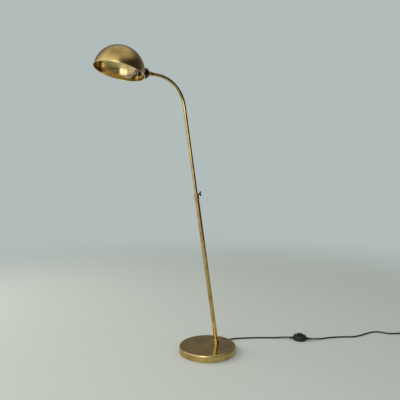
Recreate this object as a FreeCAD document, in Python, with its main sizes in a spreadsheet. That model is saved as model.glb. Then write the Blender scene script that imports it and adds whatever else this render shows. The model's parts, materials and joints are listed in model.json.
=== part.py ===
import FreeCAD, Part
import math
import os
import re

import Sketcher
from FreeCAD import Vector

# Bridge floor lamp: a weighted round base, a leaning two-part stem whose upper tube slides,
# swivels and curves over to the front, and a brass dome shade on a swivel knuckle.
# Millimetres and degrees. The origin is the base's centre on the floor, +Z is up, -X is the
# front, towards the shade, and the stem, arm and shade lie in the XZ plane.

SIZES = [
    # base
    ("base_diameter", 250.0, "outside of the spun cover"),
    ("base_height", 30.0, "floor to the top of the cover"),
    ("cover_wall", 1.2, "sheet of the spun cover"),
    ("cover_round", 6.0, "outer radius of the cover's top edge"),
    ("cover_lift", 1.5, "gap under the cover's rim"),
    ("felt_side", 8.0, "felt pad's edge, in from the cover's outside"),
    ("felt_thickness", 3.0, "felt pad"),
    ("plate_side", 6.0, "closing plate's edge, in from the cover's outside"),
    ("plate_thickness", 1.5, "steel closing plate"),
    ("weight_side", 5.0, "ballast's edge, in from the cover's outside"),
    ("weight_gap", 0.3, "ballast to the underside of the cover"),
    ("weight_round", 5.0, "casting radius of the ballast's top edge"),
    ("recess_diameter", 56.0, "hollow under the ballast, round the stem's nut"),
    ("recess_depth", 14.0, "hollow under the ballast"),
    ("channel_width", 14.0, "cord channel under the ballast"),
    ("channel_depth", 12.0, "cord channel under the ballast"),
    ("screw_side", 25.0, "plate's screws, in from the cover's outside"),
    ("screw_shank", 4.0, "plate and switch screws"),
    ("screw_head", 8.0, "head of the plate's screws"),
    ("screw_length", 12.0, "plate's screws"),
    # stem
    ("foot_offset", 48.8, "stem's foot, behind the base's centre"),
    ("pole_lean", 9.15, "stem's lean to the front"),
    ("collar_wall", 1.45, "foot collar round the tube"),
    ("collar_height", 15.0, "foot collar above the base, along the stem"),
    ("collar_floor", 4.0, "collar under the tube's end"),
    ("collar_round", 1.2, "collar's top edge"),
    ("nipple_diameter", 10.0, "threaded hollow stud"),
    ("nipple_bore", 7.2, "threaded hollow stud"),
    ("nipple_reach", 12.0, "stud inside the tube's end plug"),
    ("nut_seat", 9.4, "depth of the spot face that the nut pulls on"),
    ("washer_diameter", 22.0, "under the nut"),
    ("washer_room", 1.0, "round the washer in its spot face"),
    ("washer_thickness", 1.5, "under the nut"),
    ("nut_across", 14.0, "across the flats"),
    ("nut_height", 5.0, "nut"),
    ("nut_end", 1.5, "stud past the nut"),
    ("end_plug_length", 14.0, "plug soldered in the tube's foot"),
    ("stem_diameter", 18.0, "lower tube, outside"),
    ("stem_bore", 15.0, "lower tube, inside"),
    ("stem_length", 666.0, "lower tube"),
    # clamp
    ("clamp_diameter", 21.0, "clamp collar"),
    ("clamp_length", 25.0, "clamp collar"),
    ("clamp_cap", 8.0, "solid end of the collar above the lower tube"),
    ("clamp_round", 1.2, "rounded edges of the collar"),
    ("screw_drop", 4.2, "thumb screw's axis under the collar's top"),
    ("thumb_thread", 5.0, "thumb screw"),
    ("pad_length", 1.3, "brass slug under the thumb screw"),
    ("thumb_travel", 1.2, "thumb screw's withdrawal over its turns"),
    ("thumb_hub", 8.0, "hub of the wing head"),
    ("wing_span", 20.0, "wing head"),
    ("wing_reach", 15.0, "wing head's end from the collar"),
    ("wing_thickness", 3.0, "wing head"),
    ("wing_lobe", 4.0, "radius of a wing's tip"),
    ("wing_tip_width", 6.8, "a wing's tip, across"),
    ("wing_tip_rise", 2.5, "inner side of a wing's tip above its outer side"),
    ("wing_dip", 7.0, "between the wings, under their tips"),
    ("hub_step", 2.0, "straight foot of the wing head's hub"),
    ("hub_taper", 1.0, "hub's end, narrower than its foot"),
    ("hub_crown", 6.0, "hub's end, under the wings' tips"),
    ("bush_length", 22.0, "guide bush in the lower tube's mouth"),
    # arm
    ("arm_diameter", 13.0, "upper tube, outside"),
    ("arm_bore", 10.6, "upper tube, inside"),
    ("arm_overlap", 230.0, "upper tube inside the lower tube"),
    ("arc_height", 1044.3, "start of the bend, along the stem from the foot"),
    ("arc_radius", 135.4, "bend of the upper tube"),
    ("arm_rise", 5.0, "slope of the arm's end"),
    ("arm_end", 32.6, "end of the bend to the knuckle's pivot"),
    ("slide_bush_length", 18.0, "sleeve at the upper tube's foot"),
    ("ring_length", 3.0, "stops either side of the sleeve"),
    ("arm_flex_drop", 12.0, "flex below the upper tube's foot"),
    ("arm_flex_end", 9.5, "flex's end short of the pivot"),
    # knuckle
    ("ball_diameter", 17.0, "swivel knuckle"),
    ("ball_width", 14.0, "knuckle over its two flats"),
    ("knuckle_gap", 0.1, "between the knuckle's two halves"),
    ("knuckle_play", 0.3, "round the ball, to the other half's neck"),
    ("knuckle_neck", 9.0, "neck of each half"),
    ("arm_shoulder", 10.0, "pivot to the upper tube's end"),
    ("spigot_length", 16.0, "knuckle inside the upper tube"),
    ("wire_way", 6.8, "bore for the flex"),
    ("pivot_screw", 4.0, "knuckle's screw"),
    ("pivot_head", 7.4, "knuckle's screw"),
    ("pivot_head_height", 2.2, "knuckle's screw"),
    ("pivot_chamfer", 0.9, "edge of the screw's head"),
    ("pivot_slot", 1.0, "screwdriver slot"),
    ("pivot_end", 1.0, "screw's end short of the far flat"),
    ("pivot_washer", 0.8, "under the screw's head"),
    ("washer_rim", 0.5, "washer past the screw's head"),
    # head
    ("holder_drop", 1.4, "slope of the lampholder's axis below level"),
    ("neck_shoulder", 10.8, "pivot to the cup's seat"),
    ("neck_flange", 14.0, "flange that the cup seats on"),
    ("flange_rim", 1.5, "flange that the cup seats on, thick"),
    ("thread_length", 9.0, "hollow stud in the holder's cap"),
    ("cup_diameter", 42.0, "mouth of the bell cup"),
    ("cup_depth", 24.0, "bell cup"),
    ("cup_bell", 16.2, "curved part of the bell cup"),
    ("cup_wall", 0.9, "bell cup"),
    ("cup_crown", 9.0, "flat of the bell cup, radius"),
    ("cup_curve", 16.0, "curve of the bell cup"),
    ("holder_diameter", 28.0, "lampholder"),
    ("holder_wall", 1.6, "lampholder's shell"),
    ("cap_length", 12.0, "lampholder's cap"),
    ("cap_shoulder", 5.0, "cone at the back of the cap"),
    ("cap_inset", 1.0, "inside of that cone, further in"),
    ("cap_boss", 2.0, "wall of the cap's threaded boss"),
    ("skirt_length", 38.0, "lampholder's shell"),
    ("holder_flange", 36.0, "flange behind the shade"),
    ("flange_thickness", 2.5, "flange behind the shade"),
    ("ring_width", 3.0, "shade ring, radially"),
    ("ring_thickness", 6.0, "shade ring"),
    ("ring_chamfer", 1.5, "shade ring's front edge"),
    ("insert_length", 32.0, "ceramic insert"),
    ("socket_depth", 18.0, "lamp cap's bore in the insert"),
    ("socket_set", 4.0, "insert's face behind the shell's mouth"),
    ("contact_diameter", 6.0, "centre contact"),
    ("contact_height", 0.8, "centre contact"),
    ("shade_radius", 96.5, "outside of the dome"),
    ("shade_wall", 0.8, "dome"),
    ("shade_skirt", 0.5, "straight rim below the half sphere"),
    ("shade_bead", 3.0, "rolled rim"),
    ("shade_distance", 134.5, "pivot to the dome's centre"),
    ("shade_cant", 16.4, "dome's lean back on the holder"),
    ("shade_roll", 2.5, "dome turned on the holder, as it is clamped"),
    # lamp bulb
    ("bulb_diameter", 45.0, "globe"),
    ("bulb_cap_diameter", 14.0, "screw cap"),
    ("bulb_cap_length", 19.0, "screw cap"),
    ("bulb_tip_rise", 1.5, "black glass over the bulb's contact"),
    ("bulb_tip_inset", 2.5, "edge of that glass, in from the cap"),
    ("bulb_cap_taper", 4.0, "tapered end of the cap"),
    ("bulb_length", 78.0, "contact to the globe's end"),
    ("bulb_neck", 15.2, "glass at the cap"),
    ("bulb_wall", 0.9, "glass"),
    ("bulb_shoulder", 40.0, "where the neck runs into the globe"),
    # flex and its fittings
    ("flex_diameter", 6.5, "round flex"),
    ("lead_diameter", 2.2, "one insulated core"),
    ("supply_spread", 1.5, "cores in the stem, from its axis"),
    ("supply_run", 8.0, "cores straight out of the sheath"),
    ("supply_sag", 4.5, "cores' corner under the stud"),
    ("supply_rise", 20.0, "cores' end above the tube's end plug"),
    ("holder_spread", 2.1, "cores in the lampholder, from its axis"),
    ("exit_azimuth", 16.0, "where the flex leaves the base, from the back"),
    ("exit_height", 9.5, "where the flex leaves the base"),
    ("exit_hole", 10.0, "hole in the cover"),
    ("grommet_lip", 3.0, "grommet outside the cover"),
    ("grommet_sleeve", 16.0, "grommet inside the cover"),
    ("grommet_wall", 0.85, "grommet's sleeve at its end"),
    ("grommet_rim", 1.3, "grommet's flanges, past the hole"),
    ("grommet_flange", 2.0, "grommet's inner flange, thick"),
    ("grip_depth", 33.0, "flex grip, in from the cover's outside"),
    ("grip_length", 8.0, "flex grip"),
    ("sheath_stop", 17.2, "sheath's end, behind the stem's foot"),
    # foot switch
    ("switch_x", 441.0, "centre"),
    ("switch_y", -125.0, "centre"),
    ("switch_turn", -44.0, "direction of the flex through it"),
    ("switch_diameter", 62.0, "body"),
    ("switch_height", 21.5, "top of the cover"),
    ("switch_wall", 2.0, "base and cover"),
    ("switch_split", 9.0, "joint between base and cover"),
    ("switch_round", 7.0, "cover's edge"),
    ("switch_chamfer", 1.0, "base's lower edge"),
    ("switch_pad_inset", 1.5, "rubber pad's edge, in from the body's"),
    ("switch_pad_thickness", 1.5, "rubber pad"),
    ("button_diameter", 25.0, "push button"),
    ("button_height", 7.5, "push button above the cover"),
    ("button_travel", 3.0, "push button"),
    ("button_flange", 29.0, "push button's stop under the cover"),
    ("button_rim", 3.0, "push button's stop, thick"),
    ("button_round", 2.0, "push button's edge"),
    ("plunger_diameter", 6.0, "push button's stem"),
    ("plunger_rest", 2.4, "plunger above the block's floor, pressed"),
    ("block_length", 26.0, "switch block"),
    ("block_width", 22.0, "switch block"),
    ("block_height", 8.5, "switch block"),
    ("block_floor", 2.0, "switch block under its plunger"),
    ("post_offset", 22.0, "screw posts from the centre"),
    ("post_diameter", 6.4, "screw posts"),
    ("switch_screw", 3.0, "screws up into the posts"),
    ("switch_screw_length", 11.0, "screws up into the posts"),
    ("entry_height", 7.5, "flex's axis at switch and plug"),
    ("relief_length", 17.0, "strain reliefs outside the body"),
    ("relief_root", 10.8, "strain relief at the body"),
    ("relief_end", 8.4, "strain relief at its end"),
    ("relief_neck", 8.4, "strain relief through the wall"),
    ("relief_flange", 9.6, "strain relief's flange inside the wall"),
    ("relief_tail", 3.0, "strain relief behind the wall"),
    ("relief_step", 0.8, "flange behind the wall's inside"),
    ("tail_gap", 1.0, "flex's end to the switch block"),
    # coil and plug
    ("coil_x", 920.8, "centre"),
    ("coil_y", -397.2, "centre"),
    ("coil_radius", 36.0, "middle of the turns"),
    ("coil_columns", 2.0, "turns side by side"),
    ("coil_layers", 3.0, "turns on each other"),
    ("plug_x", 849.4, "centre"),
    ("plug_y", -476.5, "centre"),
    ("plug_turn", -155.0, "direction in which the flex enters"),
    ("plug_length", 50.0, "body"),
    ("plug_width", 50.0, "body"),
    ("plug_taper", 15.0, "narrowed corners at the flex's side"),
    ("plug_corner", 6.0, "rounded corners away from the flex"),
    ("plug_step", 0.6, "back shell's edge, in from the front shell's"),
    ("plug_entry", 10.0, "strain relief's hole"),
    ("plug_relief_length", 21.0, "plug's strain relief outside the body"),
    ("plug_cover_height", 15.0, "back shell"),
    ("plug_base_height", 8.0, "front shell"),
    ("pin_thickness", 4.0, "all three pins"),
    ("pin_width", 6.35, "live and neutral pins"),
    ("earth_width", 8.0, "earth pin"),
    ("pin_length", 17.7, "live and neutral pins"),
    ("earth_length", 22.7, "earth pin"),
    ("pin_spacing", 22.2, "live to neutral, and both to earth"),
    # fits
    ("running_fit", 0.05, "radial play where pieces turn or slide"),
    ("seat_gap", 0.1, "play at a screwed or pushed seat"),
]

# The flex's route where it isn't coiled: points on its axis, chosen by hand.
ROUTE_TO_SWITCH = [
    (143.0, 41.0, 9.5), (168.0, 51.5, 5.2), (203.0, 44.0, 3.3), (256.0, 16.5, 3.3),
    (313.5, -18.7, 3.3), (351.0, -47.0, 3.4), (376.0, -63.5, 5.0), (392.1, -77.8, 7.5),
]
ROUTE_TO_COIL = [
    (489.9, -172.2, 7.5), (516.0, -179.0, 4.4), (570.0, -191.0, 3.3), (630.0, -219.0, 3.3),
    (667.0, -247.5, 3.3), (706.0, -255.5, 3.3), (762.0, -254.0, 3.3), (812.0, -258.0, 3.3),
    (836.0, -281.0, 3.3), (845.0, -313.0, 3.3), (870.0, -330.0, 3.3), (903.0, -347.0, 3.3),
]
ROUTE_TO_PLUG = [(924.0, -440.7, 4.4), (906.5, -449.9, 7.5)]
COIL_IN = 67.0      # where the flex joins the coil, seen from the coil's centre
COIL_OUT = -60.0    # where it leaves the coil
ARC_SHARE = 0.45    # part of the shorter run that an arc at a corner takes up
VOLUME_SLACK = 0.01 # largest share by which a tube's volume may be off
PLATE_SCREWS = (60, 180, 300)
CORES = (90, 210, 330)

ALIASES = {alias for alias, _, _ in SIZES}
WORD = re.compile(r"[a-z][a-z_0-9]*")

doc = FreeCAD.newDocument("BridgeFloorLamp")
sheet = doc.addObject("Spreadsheet::Sheet", "Sizes")
for row, (alias, number, note) in enumerate(SIZES, 1):
    sheet.set("A%d" % row, note)
    sheet.set("B%d" % row, str(number))
    sheet.setAlias("B%d" % row, alias)
doc.recompute()

nodes = {}


# Expressions and places

def bound(expression):
    """Points each size's name in an expression at its cell."""
    def cell(word):
        return "Sizes." + word.group() if word.group() in ALIASES else word.group()
    return WORD.sub(cell, str(expression))


def value(expression):
    """The number that an expression gives now."""
    result = sheet.evalExpression(bound(expression))
    return float(getattr(result, "Value", result))


def frame(x="0", y="0", z="0", axis="0;1;0", angle="0"):
    """A placement expression: a shift, then a turn about one axis."""
    return "placement(vector(%s;%s;%s);rotation(vector(%s);%s))" % (x, y, z, axis, angle)


def settle(thing, place):
    """Binds an object's Placement to a frame."""
    if place:
        thing.setExpression("Placement", bound(place))
    return thing


def node(thing, label):
    """Names a finished sub-part; the name is also its file's."""
    thing.Label = label
    nodes[label] = thing
    return thing


# Along the stem: Z is the tube's axis, the origin its foot on the cover.
STEM = frame("foot_offset", "0", "base_height", angle="-pole_lean")
ARM_TURN = "(90 - pole_lean - arm_rise)"
# At the knuckle: Z runs on along the arm's end.
PIVOT = STEM + " * " + frame(
    "-(arc_radius * (1 - cos(%s)) + arm_end * sin(%s))" % (ARM_TURN, ARM_TURN), "0",
    "arc_height + arc_radius * sin(%s) + arm_end * cos(%s)" % (ARM_TURN, ARM_TURN),
    angle="-" + ARM_TURN)
# Along the lampholder: Z points to the front.
HEAD = PIVOT + " * " + frame(angle="-(arm_rise + holder_drop)")
# The dome: Z runs from its centre to its crown.
SHADE = (HEAD + " * " + frame(axis="0;0;1", angle="shade_roll") + " * "
         + frame(z="shade_distance", angle="90 + shade_cant"))
# Where the flex leaves the base: Z points outwards, measured from the base's axis.
EXIT = frame(z="exit_height", axis="0;0;1", angle="exit_azimuth") + " * " + frame(angle="90")
SWITCH = frame("switch_x", "switch_y", "0", "0;0;1", "switch_turn")
PLUG = frame("plug_x", "plug_y", "0", "0;0;1", "plug_turn")


def along(base, x="0", y="0", z="0", axis="0;1;0", angle="0"):
    """A frame set in another frame."""
    return base + " * " + frame(x, y, z, axis, angle)


# Shapes

def outline(body, name, corners, plane="XZ_Plane"):
    """A closed sketch whose corners are (across, up) expressions.

    A corner with a radius and a side is reached by an arc of that radius, its centre to the
    left (1) or the right (-1) of the way there.
    """
    sketch = body.newObject("Sketcher::SketchObject", name)
    origin = [item for item in body.Origin.OriginFeatures if item.Role == plane][0]
    sketch.AttachmentSupport = [(origin, "")]
    sketch.MapMode = "FlatFace"
    spots = [Vector(value(corner[0]), value(corner[1]), 0) for corner in corners]
    ends = []
    for number, corner in enumerate(corners):
        start, stop = spots[number - 1], spots[number]
        if len(corner) == 2:
            edge = sketch.addGeometry(Part.LineSegment(start, stop), False)
            ends.append((edge, 1, 2))
            continue
        radius, side = value(corner[2]), corner[3]
        chord = stop - start
        rise = math.sqrt(max(radius ** 2 - chord.Length ** 2 / 4, 0))
        centre = (start + stop) / 2 + Vector(-chord.y, chord.x, 0).normalize() * rise * side
        first, last = (start, stop) if side > 0 else (stop, start)
        begin = math.atan2(first.y - centre.y, first.x - centre.x)
        finish = math.atan2(last.y - centre.y, last.x - centre.x)
        circle = Part.Circle(centre, Vector(0, 0, 1), radius)
        edge = sketch.addGeometry(Part.ArcOfCircle(circle, begin, finish), False)
        ends.append((edge, 1, 2) if side > 0 else (edge, 2, 1))
        bind(sketch, Sketcher.Constraint("Radius", edge, radius), corner[2])
    for number, corner in enumerate(corners):
        edge, _, stop = ends[number]
        following = ends[(number + 1) % len(ends)]
        sketch.addConstraint(Sketcher.Constraint("Coincident", edge, stop, following[0],
                                                 following[1]))
        spot = spots[number]
        bind(sketch, Sketcher.Constraint("DistanceX", -1, 1, edge, stop, spot.x), corner[0])
        bind(sketch, Sketcher.Constraint("DistanceY", -1, 1, edge, stop, spot.y), corner[1])
    return sketch


def bind(sketch, constraint, expression):
    """Adds a dimension to a sketch and ties it to an expression."""
    number = sketch.addConstraint(constraint)
    sketch.setExpression("Constraints[%d]" % number, bound(expression))


def turned(name, corners, place=None):
    """A solid of revolution about Z; corners are (radius, height)."""
    body = doc.addObject("PartDesign::Body", name)
    profile = outline(body, name + "_profile", corners)
    turn = body.newObject("PartDesign::Revolution", name + "_turn")
    turn.Profile = profile
    turn.ReferenceAxis = (profile, ["V_Axis"])
    turn.Angle = 360
    body.Tip = turn
    return settle(body, place)


def padded(name, corners, thickness, place=None, plane="XY_Plane", midplane=False):
    """A flat outline given a thickness."""
    body = doc.addObject("PartDesign::Body", name)
    profile = outline(body, name + "_profile", corners, plane)
    pad = body.newObject("PartDesign::Pad", name + "_pad")
    pad.Profile = profile
    pad.Midplane = midplane
    pad.setExpression("Length", bound(thickness))
    body.Tip = pad
    return settle(body, place)


def rod(name, radius, height, place=None):
    """A plain cylinder along Z."""
    cylinder = doc.addObject("Part::Cylinder", name)
    cylinder.setExpression("Radius", bound(radius))
    cylinder.setExpression("Height", bound(height))
    return settle(cylinder, place)


def ball(name, radius, place=None):
    """A plain sphere."""
    sphere = doc.addObject("Part::Sphere", name)
    sphere.setExpression("Radius", bound(radius))
    return settle(sphere, place)


def block(name, length, width, height, place=None):
    """A plain box from its corner."""
    box = doc.addObject("Part::Box", name)
    box.setExpression("Length", bound(length))
    box.setExpression("Width", bound(width))
    box.setExpression("Height", bound(height))
    return settle(box, place)


def boolean(kind, name, base, tool):
    """One boolean of two solids: Cut or Common."""
    result = doc.addObject("Part::" + kind, name)
    result.Base = base
    result.Tool = tool
    return result


def cut(name, base, *tools):
    """A solid less each tool in turn."""
    for number, tool in enumerate(tools, 1):
        step = name if number == len(tools) else "%s_step_%d" % (name, number)
        base = boolean("Cut", step, base, tool)
    return base


def fused(name, *solids):
    """Several solids made one."""
    result = doc.addObject("Part::MultiFuse", name)
    result.Shapes = list(solids)
    result.Refine = True
    return result


def group(name, *solids):
    """Separate solids kept in one node."""
    result = doc.addObject("Part::Compound", name)
    result.Links = list(solids)
    return result


def hexagon(across):
    """Corners of a nut, across its flats."""
    corners = []
    for number in range(6):
        angle = 60 * number
        corners.append(("(%s) / sqrt(3) * cos(%d)" % (across, angle),
                        "(%s) / sqrt(3) * sin(%d)" % (across, angle)))
    return corners


# Flex

def bend_path(points):
    """Straight runs joined by tangent arcs, each as large as its two runs allow."""
    points = [Vector(*point) for point in points]
    edges, radii, start = [], [], points[0]
    for before, corner, after in zip(points, points[1:], points[2:]):
        into, out = corner - before, after - corner
        turn = into.getAngle(out)
        reach = ARC_SHARE * min(into.Length, out.Length)
        radii.append(reach / math.tan(turn / 2))
        into.normalize()
        out.normalize()
        first, last = corner - into * reach, corner + out * reach
        inward = (out - into).normalize()
        centre = corner + inward * math.hypot(reach, radii[-1])
        middle = centre - inward * radii[-1]
        edges.append(Part.LineSegment(start, first).toShape())
        edges.append(Part.Arc(first, middle, last).toShape())
        start = last
    edges.append(Part.LineSegment(start, points[-1]).toShape())
    return Part.Wire(edges), radii


def cord_tube(points, diameter):
    """A round tube along a bend path, its volume compared with its length."""
    path, radii = bend_path(points)
    axis = Vector(*points[1]) - Vector(*points[0])
    circle = Part.Circle(Vector(*points[0]), axis, diameter / 2).toShape()
    solid = path.makePipeShell([Part.Wire([circle])], True, False)
    expected = math.pi * diameter ** 2 / 4 * path.Length
    if abs(solid.Volume / expected - 1) > VOLUME_SLACK:
        raise ValueError("a cord tube's volume is off: %g for %g" % (solid.Volume, expected))
    return solid, path.Length, radii


def flex(name, points, diameter="flex_diameter"):
    """One stretch of flex as a solid of its own; prints its length and bend radii."""
    solid, length, radii = cord_tube(points, value(diameter))
    feature = doc.addObject("Part::Feature", name)
    feature.Shape = solid
    print(name, "length %.0f" % length, "radii", [round(radius) for radius in radii])
    return feature


def spot(place, x=0.0, y=0.0, z=0.0):
    """A point given in a frame, in the part's own axes."""
    placement = sheet.evalExpression(bound(place))
    return tuple(placement.multVec(Vector(x, y, z)))


# Base

def base_cover():
    """The spun brass cover, with the stem's hole and the flex's."""
    edge = "base_diameter / 2"
    shell = turned("cover_shell", [
        (edge, "cover_lift"),
        (edge, "base_height - cover_round"),
        (edge + " - cover_round", "base_height", "cover_round", 1),
        ("0", "base_height"),
        ("0", "base_height - cover_wall"),
        (edge + " - cover_round", "base_height - cover_wall"),
        (edge + " - cover_wall", "base_height - cover_round", "cover_round - cover_wall", -1),
        (edge + " - cover_wall", "cover_lift"),
    ])
    stud = rod("cover_stud_hole", "nipple_diameter / 2 + seat_gap * 4", "8 * cover_wall",
               along(STEM, z="-4 * cover_wall"))
    hole = rod("cover_flex_hole", "exit_hole / 2 + seat_gap", "4 * cover_round",
               along(EXIT, z=edge + " - 2 * cover_round"))
    node(cut("base_cover", shell, stud, hole), "base_cover")


def base_weight():
    """The cast ballast: a hollow round the stem's nut and a channel for the flex."""
    floor = "felt_thickness + plate_thickness"
    top = "base_height - cover_wall - weight_gap"
    edge = "base_diameter / 2 - weight_side"
    disc = turned("weight_disc", [
        ("0", floor),
        (edge, floor),
        (edge, top + " - weight_round"),
        (edge + " - weight_round", top, "weight_round", 1),
        ("0", top),
    ])
    recess = rod("weight_recess", "recess_diameter / 2", "recess_depth",
                 frame("foot_offset", "0", floor))
    channel = block("weight_channel", edge, "channel_width", "channel_depth",
                    frame(z=floor, axis="0;0;1", angle="exit_azimuth") + " * "
                    + frame("foot_offset", "-channel_width / 2"))
    stud = rod("weight_stud_hole", "nipple_diameter / 2 + seat_gap * 4", "2 * base_height",
               along(STEM, z="-base_height"))
    seat = rod("weight_spot_face", "washer_diameter / 2 + washer_room", "base_height",
               along(STEM, z="-nut_seat - base_height"))
    taps = [rod("weight_tap_%d" % number, "screw_shank / 2 + running_fit", "screw_length",
                screw_frame(number, "plate_thickness")) for number in range(len(PLATE_SCREWS))]
    node(cut("base_weight", disc, recess, channel, stud, seat, *taps), "base_weight")


def screw_frame(number, above="0"):
    """One of the plate's three screws: Z up from the plate's underside."""
    reach, angle = "(base_diameter / 2 - screw_side)", PLATE_SCREWS[number]
    return frame("%s * cos(%d)" % (reach, angle), "%s * sin(%d)" % (reach, angle),
                 "felt_thickness + " + above)


def bottom_plate():
    """The closing plate, countersunk for its screws, and the felt pad under it."""
    disc = rod("plate_disc", "base_diameter / 2 - plate_side", "plate_thickness",
               frame(z="felt_thickness"))
    sinks = []
    for number in range(len(PLATE_SCREWS)):
        sinks.append(turned("plate_sink_%d" % number, [
            ("0", "0"),
            ("screw_head / 2 + seat_gap", "0"),
            ("screw_shank / 2 + seat_gap", "plate_thickness"),
            ("0", "plate_thickness"),
        ], screw_frame(number)))
    node(cut("bottom_plate", disc, *sinks), "bottom_plate")
    node(rod("felt_pad", "base_diameter / 2 - felt_side", "felt_thickness"), "felt_pad")


def plate_screws():
    """Three countersunk screws, up through the plate into the ballast."""
    screws = []
    for number in range(len(PLATE_SCREWS)):
        screws.append(turned("plate_screw_%d" % number, [
            ("0", "0"),
            ("screw_head / 2", "0"),
            ("screw_shank / 2", "plate_thickness"),
            ("screw_shank / 2", "screw_length"),
            ("0", "screw_length"),
        ], screw_frame(number)))
    node(group("plate_screws", *screws), "plate_screws")


def cord_grommet():
    """The rubber bush that lines the flex's hole, lipped on both sides of the cover."""
    wall = "base_diameter / 2"
    inside = "base_diameter / 2 - cover_wall - 3 * seat_gap"
    bore = "flex_diameter / 2 + running_fit"
    rim = "exit_hole / 2 + grommet_rim"
    node(turned("cord_grommet", [
        (bore, inside + " - grommet_sleeve"),
        (bore + " + grommet_wall", inside + " - grommet_sleeve"),
        ("exit_hole / 2", inside + " - grommet_flange"),
        (rim, inside + " - grommet_flange"),
        (rim, inside),
        ("exit_hole / 2", inside),
        ("exit_hole / 2", wall),
        (rim, wall),
        ("exit_hole / 2", wall + " + grommet_lip"),
        (bore, wall + " + grommet_lip"),
    ], EXIT), "cord_grommet")


def flex_in_base():
    """The sheathed flex through the grommet and its grip, and the cores up the stud."""
    stop = "(foot_offset + sheath_stop)"
    length = "base_diameter / 2 + grommet_lip - " + stop
    node(rod("flex_in_base", "flex_diameter / 2", length, along(EXIT, z=stop)), "flex_in_base")
    floor = "felt_thickness + plate_thickness"
    grip = block("grip_block", "grip_length", "channel_width - 2 * seat_gap",
                 "channel_depth - seat_gap",
                 frame(z=floor, axis="0;0;1", angle="exit_azimuth") + " * "
                 + frame("base_diameter / 2 - grip_depth", "seat_gap - channel_width / 2"))
    bore = rod("grip_bore", "flex_diameter / 2 + running_fit", "3 * grip_length",
               along(EXIT, z="base_diameter / 2 - grip_depth - grip_length"))
    node(cut("flex_grip", grip, bore), "flex_grip")
    spread = value("supply_spread")
    below = -value("nut_seat + washer_thickness + nut_height + nut_end + supply_sag")
    above = value("collar_floor + end_plug_length + supply_rise")
    wires = []
    for number, angle in enumerate(CORES):
        across = spread * math.cos(math.radians(angle))
        beside = spread * math.sin(math.radians(angle))
        start = spot(EXIT, across, beside, value(stop))
        run_in = spot(EXIT, across, beside, value(stop + " - supply_run"))
        corner = spot(STEM, beside, across, below + across)
        end = spot(STEM, beside, across, above)
        wires.append(flex("supply_lead_%d" % number, [start, run_in, corner, end],
                          "lead_diameter"))
    node(group("supply_leads", *wires), "supply_leads")


# Stem

def foot_collar():
    """The small rounded collar: its underside is cut level to sit on the cover."""
    tube = "stem_diameter / 2 + running_fit"
    edge = tube + " + collar_wall"
    body = turned("collar_body", [
        ("nipple_diameter / 2 + seat_gap", "-collar_floor"),
        (edge, "-collar_floor"),
        (edge, "collar_height - collar_round"),
        (edge + " - collar_round", "collar_height", "collar_round", 1),
        (tube, "collar_height"),
        (tube, "collar_floor"),
        ("nipple_diameter / 2 + seat_gap", "collar_floor"),
    ], STEM)
    below = block("collar_below", "4 * stem_diameter", "4 * stem_diameter", "base_height",
                  frame("foot_offset - 2 * stem_diameter", "-2 * stem_diameter"))
    node(cut("foot_collar", body, below), "foot_collar")


def stem_fixing():
    """The hollow stud, its washer and nut under the ballast, and the plug it screws into."""
    bottom = "-(nut_seat + washer_thickness + nut_height + nut_end)"
    node(turned("stem_nipple", [
        ("nipple_bore / 2", bottom),
        ("nipple_diameter / 2", bottom),
        ("nipple_diameter / 2", "collar_floor + nipple_reach"),
        ("nipple_bore / 2", "collar_floor + nipple_reach"),
    ], STEM), "stem_nipple")
    hole = "nipple_diameter / 2 + running_fit"
    node(turned("nipple_washer", [
        (hole, "-nut_seat - washer_thickness"),
        ("washer_diameter / 2", "-nut_seat - washer_thickness"),
        ("washer_diameter / 2", "-nut_seat"),
        (hole, "-nut_seat"),
    ], STEM), "nipple_washer")
    under = "-(nut_seat + washer_thickness + nut_height)"
    nut = padded("nut_body", hexagon("nut_across"), "nut_height", along(STEM, z=under))
    bore = rod("nut_bore", hole, "2 * nut_height", along(STEM, z=under + " - 1"))
    node(cut("nipple_nut", nut, bore), "nipple_nut")
    node(turned("tube_end_plug", [
        (hole, "collar_floor"),
        ("stem_bore / 2 - running_fit", "collar_floor"),
        ("stem_bore / 2 - running_fit", "collar_floor + end_plug_length"),
        (hole, "collar_floor + end_plug_length"),
    ], STEM), "tube_end_plug")


def lower_tube():
    """The lower tube, and the bush in its mouth that the upper tube runs in."""
    top = "collar_floor + stem_length"
    node(turned("lower_tube", [
        ("stem_bore / 2", "collar_floor"),
        ("stem_diameter / 2", "collar_floor"),
        ("stem_diameter / 2", top),
        ("stem_bore / 2", top),
    ], STEM), "lower_tube")
    node(turned("guide_bush", [
        ("arm_diameter / 2 + running_fit", top + " - bush_length"),
        ("stem_bore / 2 - running_fit", top + " - bush_length"),
        ("stem_bore / 2 - running_fit", top),
        ("arm_diameter / 2 + running_fit", top),
    ], STEM), "guide_bush")


# The thumb screw's axis: Z points back, out of the collar.
THUMB = along(STEM, z="collar_floor + stem_length + clamp_cap - screw_drop", angle="90")


def clamp_collar():
    """The collar on the lower tube's mouth, tapped for the thumb screw."""
    mouth = "collar_floor + stem_length"
    edge = "clamp_diameter / 2"
    tube = "stem_diameter / 2 + running_fit"
    top = mouth + " + clamp_cap"
    bottom = top + " - clamp_length"
    body = turned("clamp_body", [
        (tube, bottom),
        (edge + " - clamp_round", bottom),
        (edge, bottom + " + clamp_round", "clamp_round", 1),
        (edge, top + " - clamp_round"),
        (edge + " - clamp_round", top, "clamp_round", 1),
        ("arm_diameter / 2 + running_fit", top),
        ("arm_diameter / 2 + running_fit", mouth),
        (tube, mouth),
    ], STEM)
    tap = rod("clamp_tap", "thumb_thread / 2", "clamp_diameter", along(THUMB, z="thumb_thread / 2"))
    node(cut("clamp_collar", body, tap), "clamp_collar")


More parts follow.
